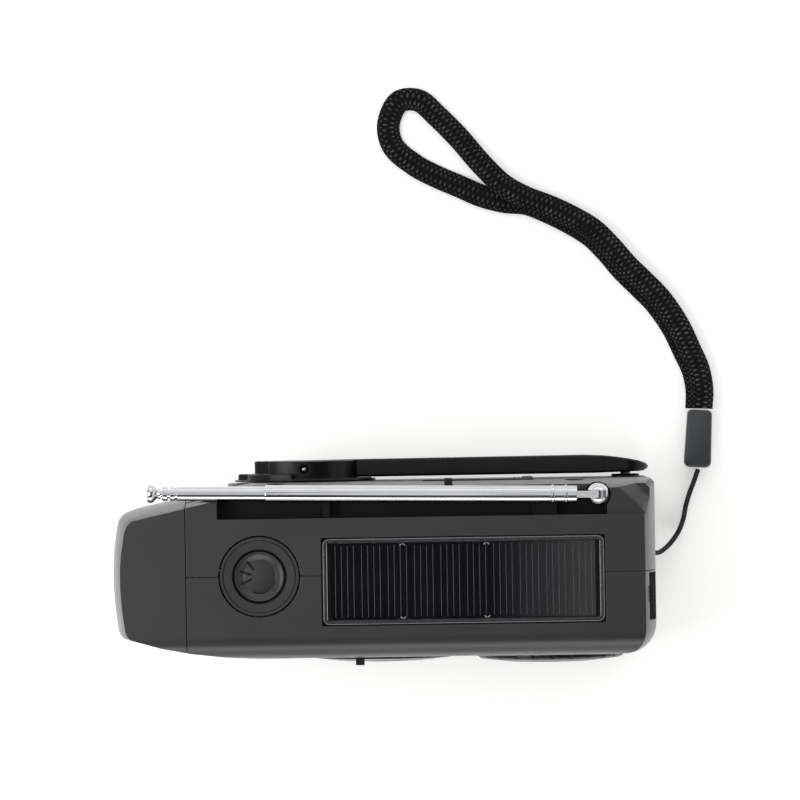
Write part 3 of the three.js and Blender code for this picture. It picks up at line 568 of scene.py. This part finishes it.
CORD_DIAMETER = 0.0012
CORD_ROUTE = [
    (0.0653, 0.0009, 0.0086), (0.0676, 0.0004, 0.0059), (0.0703, 0.0023, 0.0029), (0.0726, 0.0052, 0.0012),
    (0.074, 0.0086, 0.00075), (0.0748, 0.0124, 0.00075), (0.076, 0.0159, 0.00085), (0.0772, 0.019, 0.0015),
    (0.0777, 0.0206, 0.0018),
]
BAND_WIDTH = 0.0057
BAND_THICK = 0.0013
BAND_OUT = [
    (0.0787, 0.0356, 0.0031), (0.079, 0.0401, 0.003), (0.0782, 0.0452, 0.00275), (0.0762, 0.05, 0.0026),
    (0.0734, 0.0562, 0.00255), (0.0692, 0.0626, 0.00255), (0.0652, 0.0669, 0.00255),
    (0.061, 0.0711, 0.00255), (0.057, 0.0758, 0.00255), (0.0529, 0.0799, 0.00255),
    (0.0476, 0.0832, 0.00255), (0.042, 0.0859, 0.00255), (0.0362, 0.0882, 0.00255), (0.031, 0.0912, 0.0024),
    (0.0258, 0.0963, 0.0019), (0.0202, 0.103, 0.0013), (0.0149, 0.1085, 0.00095), (0.0104, 0.1124, 0.0008),
]
BAND_BACK = [
    (0.0056, 0.1122, 0.00076), (0.0029, 0.1068, 0.00076), (0.0039, 0.1014, 0.00076),
    (0.0093, 0.0965, 0.00076), (0.0146, 0.0936, 0.00076), (0.02, 0.0912, 0.00076),
    (0.0256, 0.0887, 0.00076), (0.0312, 0.0872, 0.00076), (0.0366, 0.0866, 0.00076),
    (0.0422, 0.0843, 0.00076), (0.0474, 0.0816, 0.00076), (0.0522, 0.0785, 0.00076),
    (0.056, 0.0747, 0.00076), (0.0599, 0.07, 0.00076), (0.064, 0.0658, 0.00076), (0.068, 0.0616, 0.00076),
    (0.0721, 0.0555, 0.00076), (0.0749, 0.0495, 0.00078), (0.0769, 0.045, 0.00085), (0.0778, 0.0401, 0.001),
    (0.0777, 0.0356, 0.0011),
]
STRAP_POST = (0.0622, 0.0016, 0.009)
LEG_APART = 0.00125


def doubled_route(legs=9):
    """The thin cord: out of the sleeve, round the post inside the case and back under itself."""
    middle, _ = spline([Vector(p) / MM for p in CORD_ROUTE], legs)
    upper = [p + UP * LEG_APART / MM for p in middle]
    post = Vector(STRAP_POST) / MM
    bend = [(1.4, 1.3, 0.3), (-0.5, 1.45, 0.2), (-1.35, 0, 0), (-0.5, -1.45, -0.2), (1.4, -1.3, -0.3)]
    return upper[::-1] + [post + Vector(step) for step in bend] + middle


def braid(name, points, half_width, half_thick, around, pitch, depth, node, finish="braid"):
    """A braided band or cord along points: an oval section whose strands stand out where they cross."""
    loops, along, across = [], [], []
    travelled = 0.0
    girth = 2 * (half_width + half_thick) * 1.72
    repeats = max(1, round(girth / pitch[1]))
    for i, p in enumerate(points):
        way = (points[min(i + 1, len(points) - 1)] - points[max(i - 1, 0)]).normalized()
        side = UP.cross(way).normalized() if abs(way.z) < 0.99 else Vector((0, 1, 0))
        over = way.cross(side)
        travelled += (p - points[i - 1]).length if i else 0
        loop = []
        for k in range(around):
            turn = 2 * math.pi * k / around
            u, v = travelled / pitch[0], repeats * k / around
            sunk = depth * (0.5 - 0.5 * math.sin(2 * math.pi * u) * math.sin(2 * math.pi * v))
            c, s = math.cos(turn), math.sin(turn)
            x = math.copysign(abs(c) ** 0.62, c) * (half_width - sunk)
            y = math.copysign(abs(s) ** 0.75, s) * (half_thick - sunk)
            loop.append(p + side * x + over * y)
            along.append(u)
            across.append(v)
        loops.append(loop)
    made = like(node, name, rings(loops), finish, smooth=180)
    for key, values in (("along", along), ("across", across)):
        made.data.attributes.new(key, "FLOAT", "POINT").data.foreach_set("value", values)
    return made


def sleeve():
    """The moulded sleeve that the cord and the band both end in."""
    low, high, middle = span_of("strap_sleeve")
    outline = []
    for x, y, start in ((1.9, 6.0, 0), (-1.9, 6.0, 90), (-1.9, -5.6, 180), (1.9, -5.6, 270)):
        radius = 1.1 if y > 0 else 1.4
        for i in range(7):
            a = math.radians(start + 15 * i)
            outline.append((x + radius * math.cos(a), y + radius * math.sin(a)))
    loops = []
    for z, inset in ((0, 0.5), (0.25, 0.15), (0.7, 0), (3.7, 0), (4.15, 0.15), (4.4, 0.5)):
        turn = Matrix.Rotation(-0.06, 3, "Z")
        shrunk = [(x * (1 - inset / 3), y * (1 - inset / 7)) for x, y in outline]
        loops.append([turn @ Vector((x, y, 0)) + Vector((middle.x, middle.y, z)) for x, y in shrunk])
    return like("strap_sleeve", "sleeve", rings(loops), "sleeve", smooth=50)


def strap():
    """Cords first: the thin doubled cord, the sleeve and the flat braided band."""
    holder = sleeve()
    route, _ = spline(doubled_route(), 240)
    half = CORD_DIAMETER / MM / 2
    thin = braid("wrist_cord", route, half, half, 16, (0.7, 0.9), 0.06, "strap_cord", "cord")
    points = [Vector(p) / MM for p in BAND_OUT + BAND_BACK]
    route, _ = spline(points, 900)
    wide = braid("wrist_band", route, BAND_WIDTH / MM / 2, BAND_THICK / MM / 2, 48, (1.25, 1.55), 0.12,
                 "strap_band")


def total(route):
    """Length in metres of a route in millimetres."""
    return sum((q - p).length for p, q in zip(route, route[1:])) * MM


# ---- Casing ----------------------------------------------------------

SEAM_X, SEAM_Y, SEAM_CLOSE = -46.6, -2.5, 0.09
# the box of faces in the mast's recess that get the painted shade material
WELL_LOW, WELL_HIGH = Vector((-39.1, 11.0, 52.9)), Vector((53.4, 16.9, 59.9))
REST_PEG = (14.9, 18.2, 54.6), (16.8, 20.1, 56.4)
FOOT_OUTLINE = [(0, 0), (2.3, 0), (2.75, 0.15), (2.95, 0.5), (2.9, 0.95), (2.6, 1.2), (0, 1.2)]
LUGS_X = (4.7, 24.6)


def casing():
    """The three mouldings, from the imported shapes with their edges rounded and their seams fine."""
    for node, name, finish in (("front_shell", "front_case", "shell"), ("back_shell", "back_case", "shell"),
                               ("flashlight_head", "head_case", "head")):
        shape = shape_of(node)
        for vertex in shape.verts:
            for axis, seam in ((0, SEAM_X), (1, SEAM_Y)):
                away = vertex.co[axis] - seam
                if 0.12 < abs(away) < 0.18:
                    vertex.co[axis] -= math.copysign(SEAM_CLOSE, away)
        if node == "flashlight_head":
            round_end(shape)
        made = like(node, name, shape, finish, bevel=0.15)
        # painted shade goes on the mast's recess of the back shell
        if node == "back_shell":
            paint_well_shade(made)
    detail("back_shell", "arm_rest_peg", cuboid(*REST_PEG), "matte", bevel=0.2)
    for i in range(1, 5):
        like(f"case_screw_{i}", f"screw_{i}", shape_of(f"case_screw_{i}"), "steel", bevel=0.08)
        foot = centre_of(f"foot_{i}")
        pad = lathe(FOOT_OUTLINE, (foot.x, foot.y, 0), sides=40)
        like(f"foot_{i}", f"rubber_foot_{i}", pad, "rubber")


def round_end(shape, reach=0.95):
    """Rounds the top edge of the head's leaning end wall."""
    shape.normal_update()
    edges = [edge for edge in shape.edges
             if all(v.co.z > 59.9 and v.co.x < -57 for v in edge.verts)
             and min(abs(face.normal.z) for face in edge.link_faces) < 0.6]
    bmesh.ops.bevel(shape, geom=edges, offset=reach, segments=5, profile=0.5, affect="EDGES",
                    clamp_overlap=True)


def paint_well_shade(made):
    """The mast's recess gets a blacker material than the textured outside: painted shade in the recess."""
    made.data.materials.append(FINISH["well"])
    for face in made.data.polygons:
        middle = face.center / MM
        if all(low < v < high for low, v, high in zip(WELL_LOW, middle, WELL_HIGH)):
            face.material_index = 1


# ---- Solar panel and flashlight button -------------------------------

def solar_panel():
    """The clear cover with its rim and snap lugs, over ten strips of cell with printed fingers."""
    low, high = box_of("solar_cover")
    rim = [(0, 56.3), (0, 59.85), (0.12, 60.15), (0.35, 60.25), (0.75, 60.25), (0.95, 60.1), (1.05, 59.8),
           (1.05, 58.9), (0.95, 56.3)]
    like("solar_cover", "cover_rim", frame_of(low.xy, high.xy, 1.5, rim), "rim")
    inset = Vector((1.1, 1.1))
    pane = rounded(low.xy + inset, high.xy - inset, 0.7, 58.9, 59.9)
    detail("solar_cover", "cover_pane", pane, "pane", bevel=0.1)
    # painted highlights: thin light-grey lines along the rim's edges, and the snap lugs in the same light grey,
    # stand in for light caught by the clear rim's edges
    edges = [frame_of(low.xy, high.xy, 1.5, [(0.05, 60.1), (0.12, 60.22), (0.19, 60.1)])]
    for x in (low.x + 0.98, high.x - 0.98):
        edges.append(cuboid((x - 0.07, low.y + 1.2, 60.1), (x + 0.07, high.y - 1.2, 60.22)))
    for x in LUGS_X:
        for y, out in ((low.y + 1.5, 1), (high.y - 1.5, -1)):
            for side in (-1, 1):
                turn = Matrix.Rotation(math.radians(38 * side * out), 4, "Z")
                corner = Vector((0.36, 0.1, 0.2))
                place = Vector((x + side * 0.38, y, 59.95))
                edges.append(cuboid(place - corner, place + corner, turn=turn))
    detail("solar_cover", "cover_edge_highlights", merged(*edges), "edge")
    like("solar_tray", "panel_tray", shape_of("solar_tray"), "matte", bevel=0.2)
    solar_cell()


def solar_cell(strips=10, fingers_each=4, gap=1.9):
    """The cell's strips side by side, each with a few printed fingers along it."""
    low, high = box_of("solar_cell")
    low.y -= 0.3
    high.y += 0.4
    pitch = (high.x - low.x) / strips
    sheets, fingers = [cuboid((low.x, low.y, low.z), (high.x, high.y, high.z - 0.15))], []
    for i in range(strips):
        x = low.x + i * pitch
        sheets.append(cuboid((x + 0.12, low.y + 0.1, high.z - 0.2), (x + pitch - 0.12, high.y - 0.1, high.z)))
        for k in range(fingers_each):
            middle = x + gap / 2 + k * (pitch - gap) / (fingers_each - 1)
            fingers.append(cuboid((middle - 0.06, low.y + 0.5, high.z - 0.02),
                                  (middle + 0.06, high.y - 0.5, high.z + 0.03)))
    like("solar_cell", "cell_strips", merged(*sheets), "cell")
    detail("solar_cell", "cell_fingers", merged(*fingers), "finger")


DISH_RADIUS = 4.0
RAYS = [((-1.3, 1.6), (-2.8, 3.3)), ((-1.9, 0.4), (-4.8, 1.35)), ((-1.85, -0.6), (-4.6, -1.8))]


def flashlight_button():
    """A dished cap with a generic lamp sign, in its stepped ring."""
    middle = centre_of("button_ring")
    foot = box_of("button_ring")[0].z
    collar = [(6.2, 0), (9.4, 0), (9.4, 3.65), (9.3, 3.8), (8.8, 3.8), (8.68, 3.7), (8.66, 3.0),
              (8.46, 3.0), (8.44, 3.7), (8.32, 3.8), (6.55, 3.75), (6.25, 3.4), (6.2, 2.5), (6.2, 0)]
    like("button_ring", "ring", lathe(collar, (middle.x, middle.y, foot), sides=96), "ring")
    foot = box_of("flashlight_button")[0].z
    cap = [(0, 0), (7.4, 0), (7.4, 0.8), (6, 0.8), (6, 4.6), (5.9, 4.9), (5.65, 5.08), (5.3, 5.05),
           (4.8, 4.6), (4.1, 4.2), (3.95, 4.05), (3.7, 4.1), (2.4, 4.28), (0, 4.4)]
    capped = lathe(cap, (middle.x, middle.y, foot), sides=96)
    like("flashlight_button", "lamp_button", capped, "ring")
    dish = (middle.x, middle.y, foot + 4.1)
    sign = [wire(arc(dish, DISH_RADIUS, -115, -60), 0.16)]
    for near, far in RAYS:
        ends = [(middle.x + x, middle.y + y, foot + h) for (x, y), h in ((near, 4.32), (far, 4.45))]
        sign.append(wire(ends, 0.24))
    detail("flashlight_button", "lamp_sign", merged(*sign), "sign")
    rim = wire(arc(dish, DISH_RADIUS, -20, 85), 0.2)
    detail("flashlight_button", "lamp_rim", rim, "ring")


# ---- Front: loudspeaker, tuning, volume and band ---------------------

def speaker():
    """The grille with cloth behind it, and the driver."""
    like("speaker_grille", "grille", shape_of("speaker_grille"), "gloss", bevel=0.18)
    middle = centre_of("speaker_grille")
    face = box_of("speaker_grille")[1].y
    weave = lathe([(0, 0), (15.4, 0), (15.4, 0.25), (0, 0.25)], (middle.x, face + 0.1, middle.z), (0, 1, 0))
    detail("speaker_grille", "grille_cloth", weave, "cloth")
    low, high, middle = span_of("speaker")
    driver = [(0, 10.3), (9.4, 10.3), (9.8, 9.9), (9.8, 3.9), (14.8, 1.2), (16.4, 1.2), (16.6, 1),
              (16.6, 0.2), (16.2, 0), (14.8, 0), (14.4, 0.5), (13.2, 0.2), (12.2, 0.6), (5, 2.9),
              (4.2, 2.4), (2.4, 1.6), (0, 1.3)]
    like("speaker", "driver", lathe(driver, (middle.x, low.y, middle.z), (0, 1, 0)), "matte")


FM_NUMBERS = ("88", "92", "96", "100", "104", "108")
AM_NUMBERS = ("53", "60", "75", "100", "130", "160")
TICKS_A_NUMBER = 5
VOLUME_RIBS = 36
SMALL_PARTS = 40


def tuning():
    """The dial and its capacitor, the window, and the scale with its numbers, ticks and pointer."""
    like("tuning_dial", "dial", shape_of("tuning_dial"), "gloss", bevel=0.15)
    like("tuning_capacitor", "capacitor", shape_of("tuning_capacitor"), "clear", bevel=0.4)
    like("dial_window", "window", shape_of("dial_window"), "clear", bevel=0.25)
    like("dial_scale", "scale", shape_of("dial_scale"), "card")
    like("dial_pointer", "pointer", shape_of("dial_pointer"), "orange", bevel=0.1)
    low, high = box_of("dial_scale")
    face = low.y
    marks = []
    steps = len(FM_NUMBERS) - 1
    left, step = low.x + 5, (high.x - low.x - 10) / steps
    for i, (fm, am) in enumerate(zip(FM_NUMBERS, AM_NUMBERS)):
        x = left + i * step
        marks.append(lettering(fm, (x, face - 0.02, high.z - 1.9), 1.7))
        marks.append(lettering(am, (x, face - 0.02, low.z + 2.5), 1.7))
    for i in range(steps * TICKS_A_NUMBER + 1):
        x = left + i * step / TICKS_A_NUMBER
        tall = 0.9 if i % TICKS_A_NUMBER == 0 else 0.5
        for z, way in ((high.z - 3.2, -1), (low.z + 3.7, 1)):
            ends = sorted((z, z + way * tall))
            marks.append(cuboid((x - 0.07, face - 0.05, ends[0]), (x + 0.07, face + 0.01, ends[1])))
    detail("dial_scale", "scale_marks", merged(*marks), "ink")


def switches():
    """The volume knob with its ribs and mark, and the two slide switches' nubs."""
    low, high, middle = span_of("volume_knob")
    radius = (high.x - low.x) / 2
    like("volume_knob", "volume", shape_of("volume_knob"), "gloss", bevel=0.15)
    notches = []
    for i in range(VOLUME_RIBS):
        a = 2 * math.pi * i / VOLUME_RIBS
        x, z = middle.x + (radius - 0.25) * math.cos(a), middle.z + (radius - 0.25) * math.sin(a)
        notches.append(wire([(x, low.y + 0.9, z), (x, low.y + 3.6, z)], 0.2, 6))
    detail("volume_knob", "volume_ribs", merged(*notches), "gloss")
    line = cuboid((middle.x - 0.35, low.y + 0.28, middle.z + 3.2),
                  (middle.x + 0.35, low.y + 0.5, middle.z + 7.2))
    detail("volume_knob", "volume_mark", line, "white", bevel=0.05)
    like("band_switch", "band_nub", shape_of("band_switch"), "gloss", bevel=0.15)
    like("slide_switch", "slide_nub", shape_of("slide_switch"), "gloss", bevel=0.08)


# ---- Back: sockets, cover and battery door ---------------------------

def sockets_and_door():
    """The two sockets, the rubber cover over them and the battery door."""
    low, high = box_of("port_cover")
    like("port_cover", "socket_cover", shape_of("port_cover"), "rubber", bevel=0.25)
    ridges = []
    for i in range(2):
        x = high.x - 4.4 + i * 0.9
        ridges.append(cuboid((x, 19.6, 40.2), (x + 0.4, 19.95, 43.8)))
    detail("port_cover", "cover_ridges", merged(*ridges), "rubber", bevel=0.1)
    for node, name in (("usb_a_socket", "wide_socket"), ("charge_socket", "small_socket")):
        like(node, name, shape_of(node), "steel", bevel=0.08)
        low, high, middle = span_of(node)
        reach = Vector((0.32 * (high.x - low.x), (high.y - low.y - 2.2) / 2, 0.35))
        tongue = cuboid(middle - reach, middle + reach)
        detail(node, name + "_tongue", tongue, "matte", bevel=0.1)
    like("battery_door", "cell_door", shape_of("battery_door"), "shell", bevel=0.18)


# ---- Flashlight ------------------------------------------------------

def lamp():
    """Lens with shallow rings, a smooth reflector and the LED on its board, on the radio's long axis."""
    low, high, middle = span_of("lens")
    face = [(0, 0), (11.7, 0), (11.7, 0.85), (11.4, 1.1), (10.6, 1.2)]
    for i in range(6):
        r = 9.6 - i * 1.5
        face += [(r + 0.5, 1.32 + i * 0.06), (r + 0.35, 1.5 + i * 0.06), (r - 0.6, 1.42 + i * 0.06)]
    face.append((0, 1.8))
    like("lens", "front_lens", lathe(face, (high.x, middle.y, middle.z), (-1, 0, 0), 96), "lens")
    low, high = box_of("reflector")
    depth, bowl = high.x - low.x, []
    for i in range(15):
        t = i / 14
        bowl.append((2.4 + 7.9 * t ** 0.62, 0.7 + 9.9 * t))
    outer = [(r + 0.9, h - 0.2) for r, h in reversed(bowl[1:-1])]
    outline = [(1.6, 0.4), *bowl, (11.3, depth - 0.3), (11.4, depth - 0.7), (11.3, depth - 1), *outer,
               (2.6, 0), (1.6, 0.4)]
    bowl = lathe(outline, (high.x, middle.y, middle.z), (-1, 0, 0), 72)
    like("reflector", "mirror_bowl", bowl, "mirror")
    like("led_board", "lamp_board", shape_of("led_board"), "circuit", bevel=0.08)
    low, high = box_of("led_board")
    spot = (low.x + 0.3, middle.y, middle.z)
    bead = lathe([(0, 0), (1.25, 0), (1.25, 0.12), (1.0, 0.35), (0.5, 0.55), (0, 0.6)], spot, (-1, 0, 0), 32)
    detail("led_board", "led", bead, "led")


# ---- Crank and its gear train ----------------------------------------

def crank():
    """The hub, its fold pin, the arm, and the knob on its rivet."""
    like("crank_hub", "hub", shape_of("crank_hub"), "gloss", bevel=0.2)
    low, high = box_of("crank_pin")
    pin = (low + high) / 2
    reach = (high.z - low.z) / 2
    head = [(0, 0), (0.35, 0.06), (0.62, 0.24), (0.8, 0.55), (0.8, 0.9), (1, 1.1)]
    outline = [(r, h - reach) for r, h in head] + [(r, reach - h) for r, h in reversed(head)]
    like("crank_pin", "fold_pin", lathe(outline, pin, sides=40), "steel")
    like("crank_arm", "arm", shape_of("crank_arm", flat=2.0), "gloss", bevel=0.6, segments=3)
    low, high = box_of("crank_knob")
    knob = (low + high) / 2
    grip = knob_shape(knob, high.y, high.y - low.y, (high.x - low.x) / 2)
    like("crank_knob", "knob", grip, "gloss")
    low, high = box_of("knob_pin")
    reach = high.y - low.y
    rivet = [(0, 0), (1.24, 0), (1.24, reach - 0.3), (1.1, reach - 0.05), (0.7, reach), (0, reach)]
    like("knob_pin", "rivet", lathe(rivet, (knob.x, low.y, knob.z), (0, 1, 0), 32), "steel")


def knob_shape(middle, top, length, radius):
    """The crank's grip: a waisted barrel with shallow lengthwise ribs and a hole for its pin."""
    loops = []
    heights = [0, 0.15, 0.5, 1.2, 3, 5, 7, 9, 11, 12.4, 13.1, 13.6, length]
    widths = [0.9, 0.96, 1, 1, 0.97, 0.9, 0.86, 0.88, 0.96, 0.99, 0.96, 0.88, 0.72]
    sides = 96
    for height, width in zip(heights, widths):
        loop = []
        for i in range(sides):
            a = 2 * math.pi * i / sides
            rib = 0.12 * max(0, math.cos(12 * a)) if 1 < height < 12.6 else 0
            r = radius * width - rib
            loop.append((middle.x + r * math.cos(a), top - height, middle.z + r * math.sin(a)))
        loops.append(loop)
    bore = lathe([(0, -1), (1.3, -1), (1.3, 11), (0, 11)], (middle.x, top, middle.z), (0, -1, 0), 32)
    return cut_away(rings(loops), bore)


def gear_train():
    """The wheels and shafts from the crank to the generator, and the generator with its windings."""
    for node, name in (("crank_gear", "drive_wheel"), ("idler_gear", "idler_wheel")):
        like(node, name, shape_of(node, 0.02), "acetal", bevel=0.06, segments=1)
    like("generator_rotor", "rotor_shaft", shape_of("generator_rotor", 0.02), "steel")
    like("crank_spindle", "spindle", shape_of("crank_spindle"), "steel", bevel=0.15)
    like("generator", "can", shape_of("generator"), "steel", bevel=0.3)
    low, high, middle = span_of("generator")
    coils = []
    for i in range(6):
        a = math.radians(60 * i)
        x, z = middle.x + 5 * math.cos(a), middle.z + 5 * math.sin(a)
        coil = [(0, 0), (1.9, 0), (2.1, 0.2), (2.1, 0.5), (0, 0.6)]
        coils.append(lathe(coil, (x, high.y - 0.1, z), (0, 1, 0), 20))
    detail("generator", "windings", merged(*coils), "copper")


def electronics():
    """The main board with its small parts, the round cell and the volume pot."""
    like("main_board", "board", shape_of("main_board"), "circuit", bevel=0.05, segments=1)
    low, high = box_of("main_board")
    draw = random.Random(11)
    small = []
    for _ in range(SMALL_PARTS):
        x, z = draw.uniform(low.x + 4, high.x - 6), draw.uniform(low.z + 3, high.z - 4)
        w, h = draw.choice(((0.8, 0.4), (1.2, 0.6), (2.2, 1.4)))
        small.append(cuboid((x - w, high.y - 0.02, z - h), (x + w, high.y + 0.7, z + h)))
    detail("main_board", "small_parts", merged(*small), "matte", bevel=0.08)
    cell_low, cell_high = box_of("battery")
    middle = (cell_low + cell_high) / 2
    start, long, radius = cell_low.x, cell_high.x - cell_low.x, (cell_high.z - cell_low.z) / 2
    outline = [(0, 0), (radius - 0.6, 0), (radius, 0.5), (radius, long - 2.4), (radius - 0.5, long - 1.8),
               (4, long - 1.4), (4, long - 0.2), (3.7, long), (0, long)]
    like("battery", "cell", lathe(outline, (start, middle.y, middle.z), (1, 0, 0)), "wrap")
    like("volume_pot", "pot", shape_of("volume_pot"), "steel", bevel=0.3)


# ---- Mast ------------------------------------------------------------

PIVOT = Vector(next(j for j in frame["joints"] if j["name"] == "antenna_tilt")["pos_m"]) / MM
MAST_WAY = Vector(next(j for j in frame["joints"] if j["name"] == "mast_section_2_pull")["axis"])
TUBE_RADII = [2.02, 1.72, 1.42, 1.12, 0.82]
TUBE_ENDS = [78.8, 99.7, 101.3, 103.1, 104.6]
MOUTH_RADIUS = 1.72
BALL_RADIUS = 2.7


def tube(start, end, radius, bore, extra=()):
    """Outline of a drawn tube with a rolled mouth; extra points go between its two ends."""
    return [(0, start), (radius - 0.1, start), (radius, start + 0.1), *extra, (radius, end - 0.25),
            (radius - 0.08, end - 0.05), (radius - 0.16, end), (bore, end), (bore, start + 2), (0, start + 2)]


def mast():
    """The five drawn sections along the mast's direction, and the slotted ball with its pin."""
    sideways = UP.cross(MAST_WAY)
    yaw = Matrix.Rotation(math.atan2(-MAST_WAY.y, -MAST_WAY.x), 4, "Z")
    beads = []
    for at in (7.2, 10.3):
        beads += [(TUBE_RADII[0], at), (2.2, at + 0.15), (2.26, at + 0.4), (2.2, at + 0.65),
                  (TUBE_RADII[0], at + 0.8)]
    barrel = lathe(tube(5, TUBE_ENDS[0], TUBE_RADII[0], 1.78, beads), PIVOT, MAST_WAY, 48)
    plate = cuboid(PIVOT + Vector((-6, -0.8, -1.55)), PIVOT + Vector((0, 0.8, 1.55)))
    plate.transform(Matrix.Translation(PIVOT) @ yaw @ Matrix.Translation(-PIVOT))
    disc = lathe([(0, -0.8), (1.5, -0.8), (1.6, -0.7), (1.6, 0.7), (1.5, 0.8), (0, 0.8)], PIVOT, sideways, 32)
    like("mast_section_1", "mast_1", merged(barrel, plate, disc), "chrome", smooth=30)
    for i in (1, 2, 3):
        start, end = 11 + 1.5 * i, TUBE_ENDS[i]
        radius = TUBE_RADII[i]
        collar = [] if i == 1 else [(radius, end - 1.3), (1.6, end - 1.3), (MOUTH_RADIUS, end - 1.15)]
        mouth = radius if i == 1 else MOUTH_RADIUS
        bore = TUBE_RADII[i + 1] + 0.06
        outline = [(0, start), (radius - 0.1, start), (radius, start + 0.1), *collar, (mouth, end - 0.2),
                   (mouth - 0.15, end), (bore, end), (bore, start + 1.2), (0, start + 1.2)]
        drawn = lathe(outline, PIVOT, MAST_WAY, 48)
        like(f"mast_section_{i + 1}", f"mast_{i + 1}", drawn, "chrome", smooth=30)
    end = TUBE_ENDS[4] - 1.1
    tip = [(0, 17), (0.72, 17), (0.82, 17.1), (0.82, end), (1.3, end), (1.32, end + 0.3), (1.1, end + 0.8),
           (1.5, end + 1.2), (2.05, end + 1.7), (2.22, end + 2.2), (2.2, end + 2.7), (1.9, end + 3.15),
           (1.3, end + 3.35), (0, end + 3.4)]
    like("mast_section_5", "mast_5", lathe(tip, PIVOT, MAST_WAY, 48), "chrome", smooth=40)
    slot = cuboid(PIVOT + Vector((-4, -0.95, -1.9)), PIVOT + Vector((1.9, 0.95, 4)))
    slot.transform(Matrix.Translation(PIVOT) @ yaw @ Matrix.Translation(-PIVOT))
    turns = [math.radians(-90 + 180 * i / 28) for i in range(29)]
    globe = [(0 if i in (0, 28) else BALL_RADIUS * math.cos(a), BALL_RADIUS * math.sin(a))
             for i, a in enumerate(turns)]
    globe = [(0, -10.5), (1.4, -10.5), (1.5, -10.4), (1.5, -2.25), *[p for p in globe if p[1] > -2.2]]
    ball = cut_away(lathe(globe, PIVOT, sides=56), slot)
    like("antenna_ball", "ball", ball, "chrome", smooth=30)
    pin = [(0, -2.45), (0.35, -2.4), (0.5, -2.25), (0.5, 2.25), (0.35, 2.4), (0, 2.45)]
    like("antenna_pin", "ball_pin", lathe(pin, PIVOT, sideways, 24), "steel")


# ---- Floor and light -------------------------------------------------

# name, place and aim in metres, size, power in watts
SOFTBOXES = [
    ("softbox_left", (-0.36, -0.02, 0.42), (-0.03, 0, 0.05), (0.3, 0.3), 1.4),
    ("softbox_back", (0.0, 1.1, 1.1), (0, 0, 0.05), (2.4, 1.5), 10.5),
    ("softbox_front", (-0.1, -1.5, 0.8), (0, 0, 0.05), (1.8, 0.5), 12),
]
PAPER_GLOW = 0.36
WARM_WHITE = (1, 0.99, 0.975, 1)
# degrees from the bright patch overhead, and the light's level there
ZONES = [(16, 1.0), (19, 0.1), (56, 0.12), (68, 0.95)]
PATCH_WAY = (-0.14, 0, 1)
DARK_DISC_WAY, DARK_DISC_FROM, DARK_DISC_TO = (-0.02, -0.03, 1), 2.0, 3.0


def studio():
    """A pale floor, a surround that is bright at the horizon and right overhead, and three softboxes."""
    shape = bmesh.new()
    bmesh.ops.create_grid(shape, x_segments=8, y_segments=8, size=4)
    mesh = mesh_of(shape, "floor")
    floor = placed("floor", mesh)
    paper = Finish("backdrop_paper", (0.93, 0.93, 0.93), 0.9, Emission_Color=WARM_WHITE,
                   Emission_Strength=PAPER_GLOW)
    paper.tint(paper.noise(60, 2), (0.92, 0.92, 0.92), (0.94, 0.94, 0.94))
    mesh.materials.append(paper.material)
    surround()
    bpy.context.scene.view_settings.view_transform = "Standard"
    for name, place, aim, size, power in SOFTBOXES:
        light = bpy.data.lights.new(name, "AREA")
        light.shape = "RECTANGLE"
        light.size, light.size_y = size
        light.energy = power
        made = placed(name, light)
        made.location = place
        made.rotation_euler = (Vector(aim) - Vector(place)).to_track_quat("-Z", "Y").to_euler()


def surround():
    """World light by the angle from straight up, with a small dark disc where the camera looks from."""
    world = bpy.data.worlds.new("surround")
    world.use_nodes = True
    nodes, links = world.node_tree.nodes, world.node_tree.links
    way = nodes.new("ShaderNodeTexCoord").outputs["Generated"]

    def angle_to(toward, start, end):
        """0 up to the start angle from a direction and 1 from the end angle on, in degrees."""
        dot = nodes.new("ShaderNodeVectorMath")
        dot.operation = "DOT_PRODUCT"
        dot.inputs[1].default_value = Vector(toward).normalized()
        links.new(way, dot.inputs[0])
        turn = nodes.new("ShaderNodeMath")
        turn.operation = "ARCCOSINE"
        links.new(dot.outputs["Value"], turn.inputs[0])
        spread = nodes.new("ShaderNodeMapRange")
        spread.inputs["From Min"].default_value = math.radians(start)
        spread.inputs["From Max"].default_value = math.radians(end)
        links.new(turn.outputs["Value"], spread.inputs["Value"])
        return spread.outputs["Result"]

    zones = nodes.new("ShaderNodeValToRGB")
    stops = zones.color_ramp.elements
    for degrees, level in ZONES:
        stops.new(degrees / 90).color = (level, level, level, 1)
    stops[0].color = (1, 1, 1, 1)
    stops[-1].color = (0.95, 0.95, 0.95, 1)
    links.new(angle_to(PATCH_WAY, 0, 90), zones.inputs["Fac"])
    strength = nodes.new("ShaderNodeMath")
    strength.operation = "MULTIPLY"
    links.new(zones.outputs["Color"], strength.inputs[0])
    links.new(angle_to(DARK_DISC_WAY, DARK_DISC_FROM, DARK_DISC_TO), strength.inputs[1])
    links.new(strength.outputs["Value"], nodes["Background"].inputs["Strength"])
    nodes["Background"].inputs["Color"].default_value = WARM_WHITE
    bpy.context.scene.world = world


FINISH = all_finishes()
camera()
strap()
casing()
solar_panel()
flashlight_button()
speaker()
tuning()
switches()
sockets_and_door()
lamp()
crank()
gear_train()
electronics()
mast()
frame["nodes"]["strap_post"].data.materials.clear()
frame["nodes"]["strap_post"].data.materials.append(FINISH["steel"])
studio()
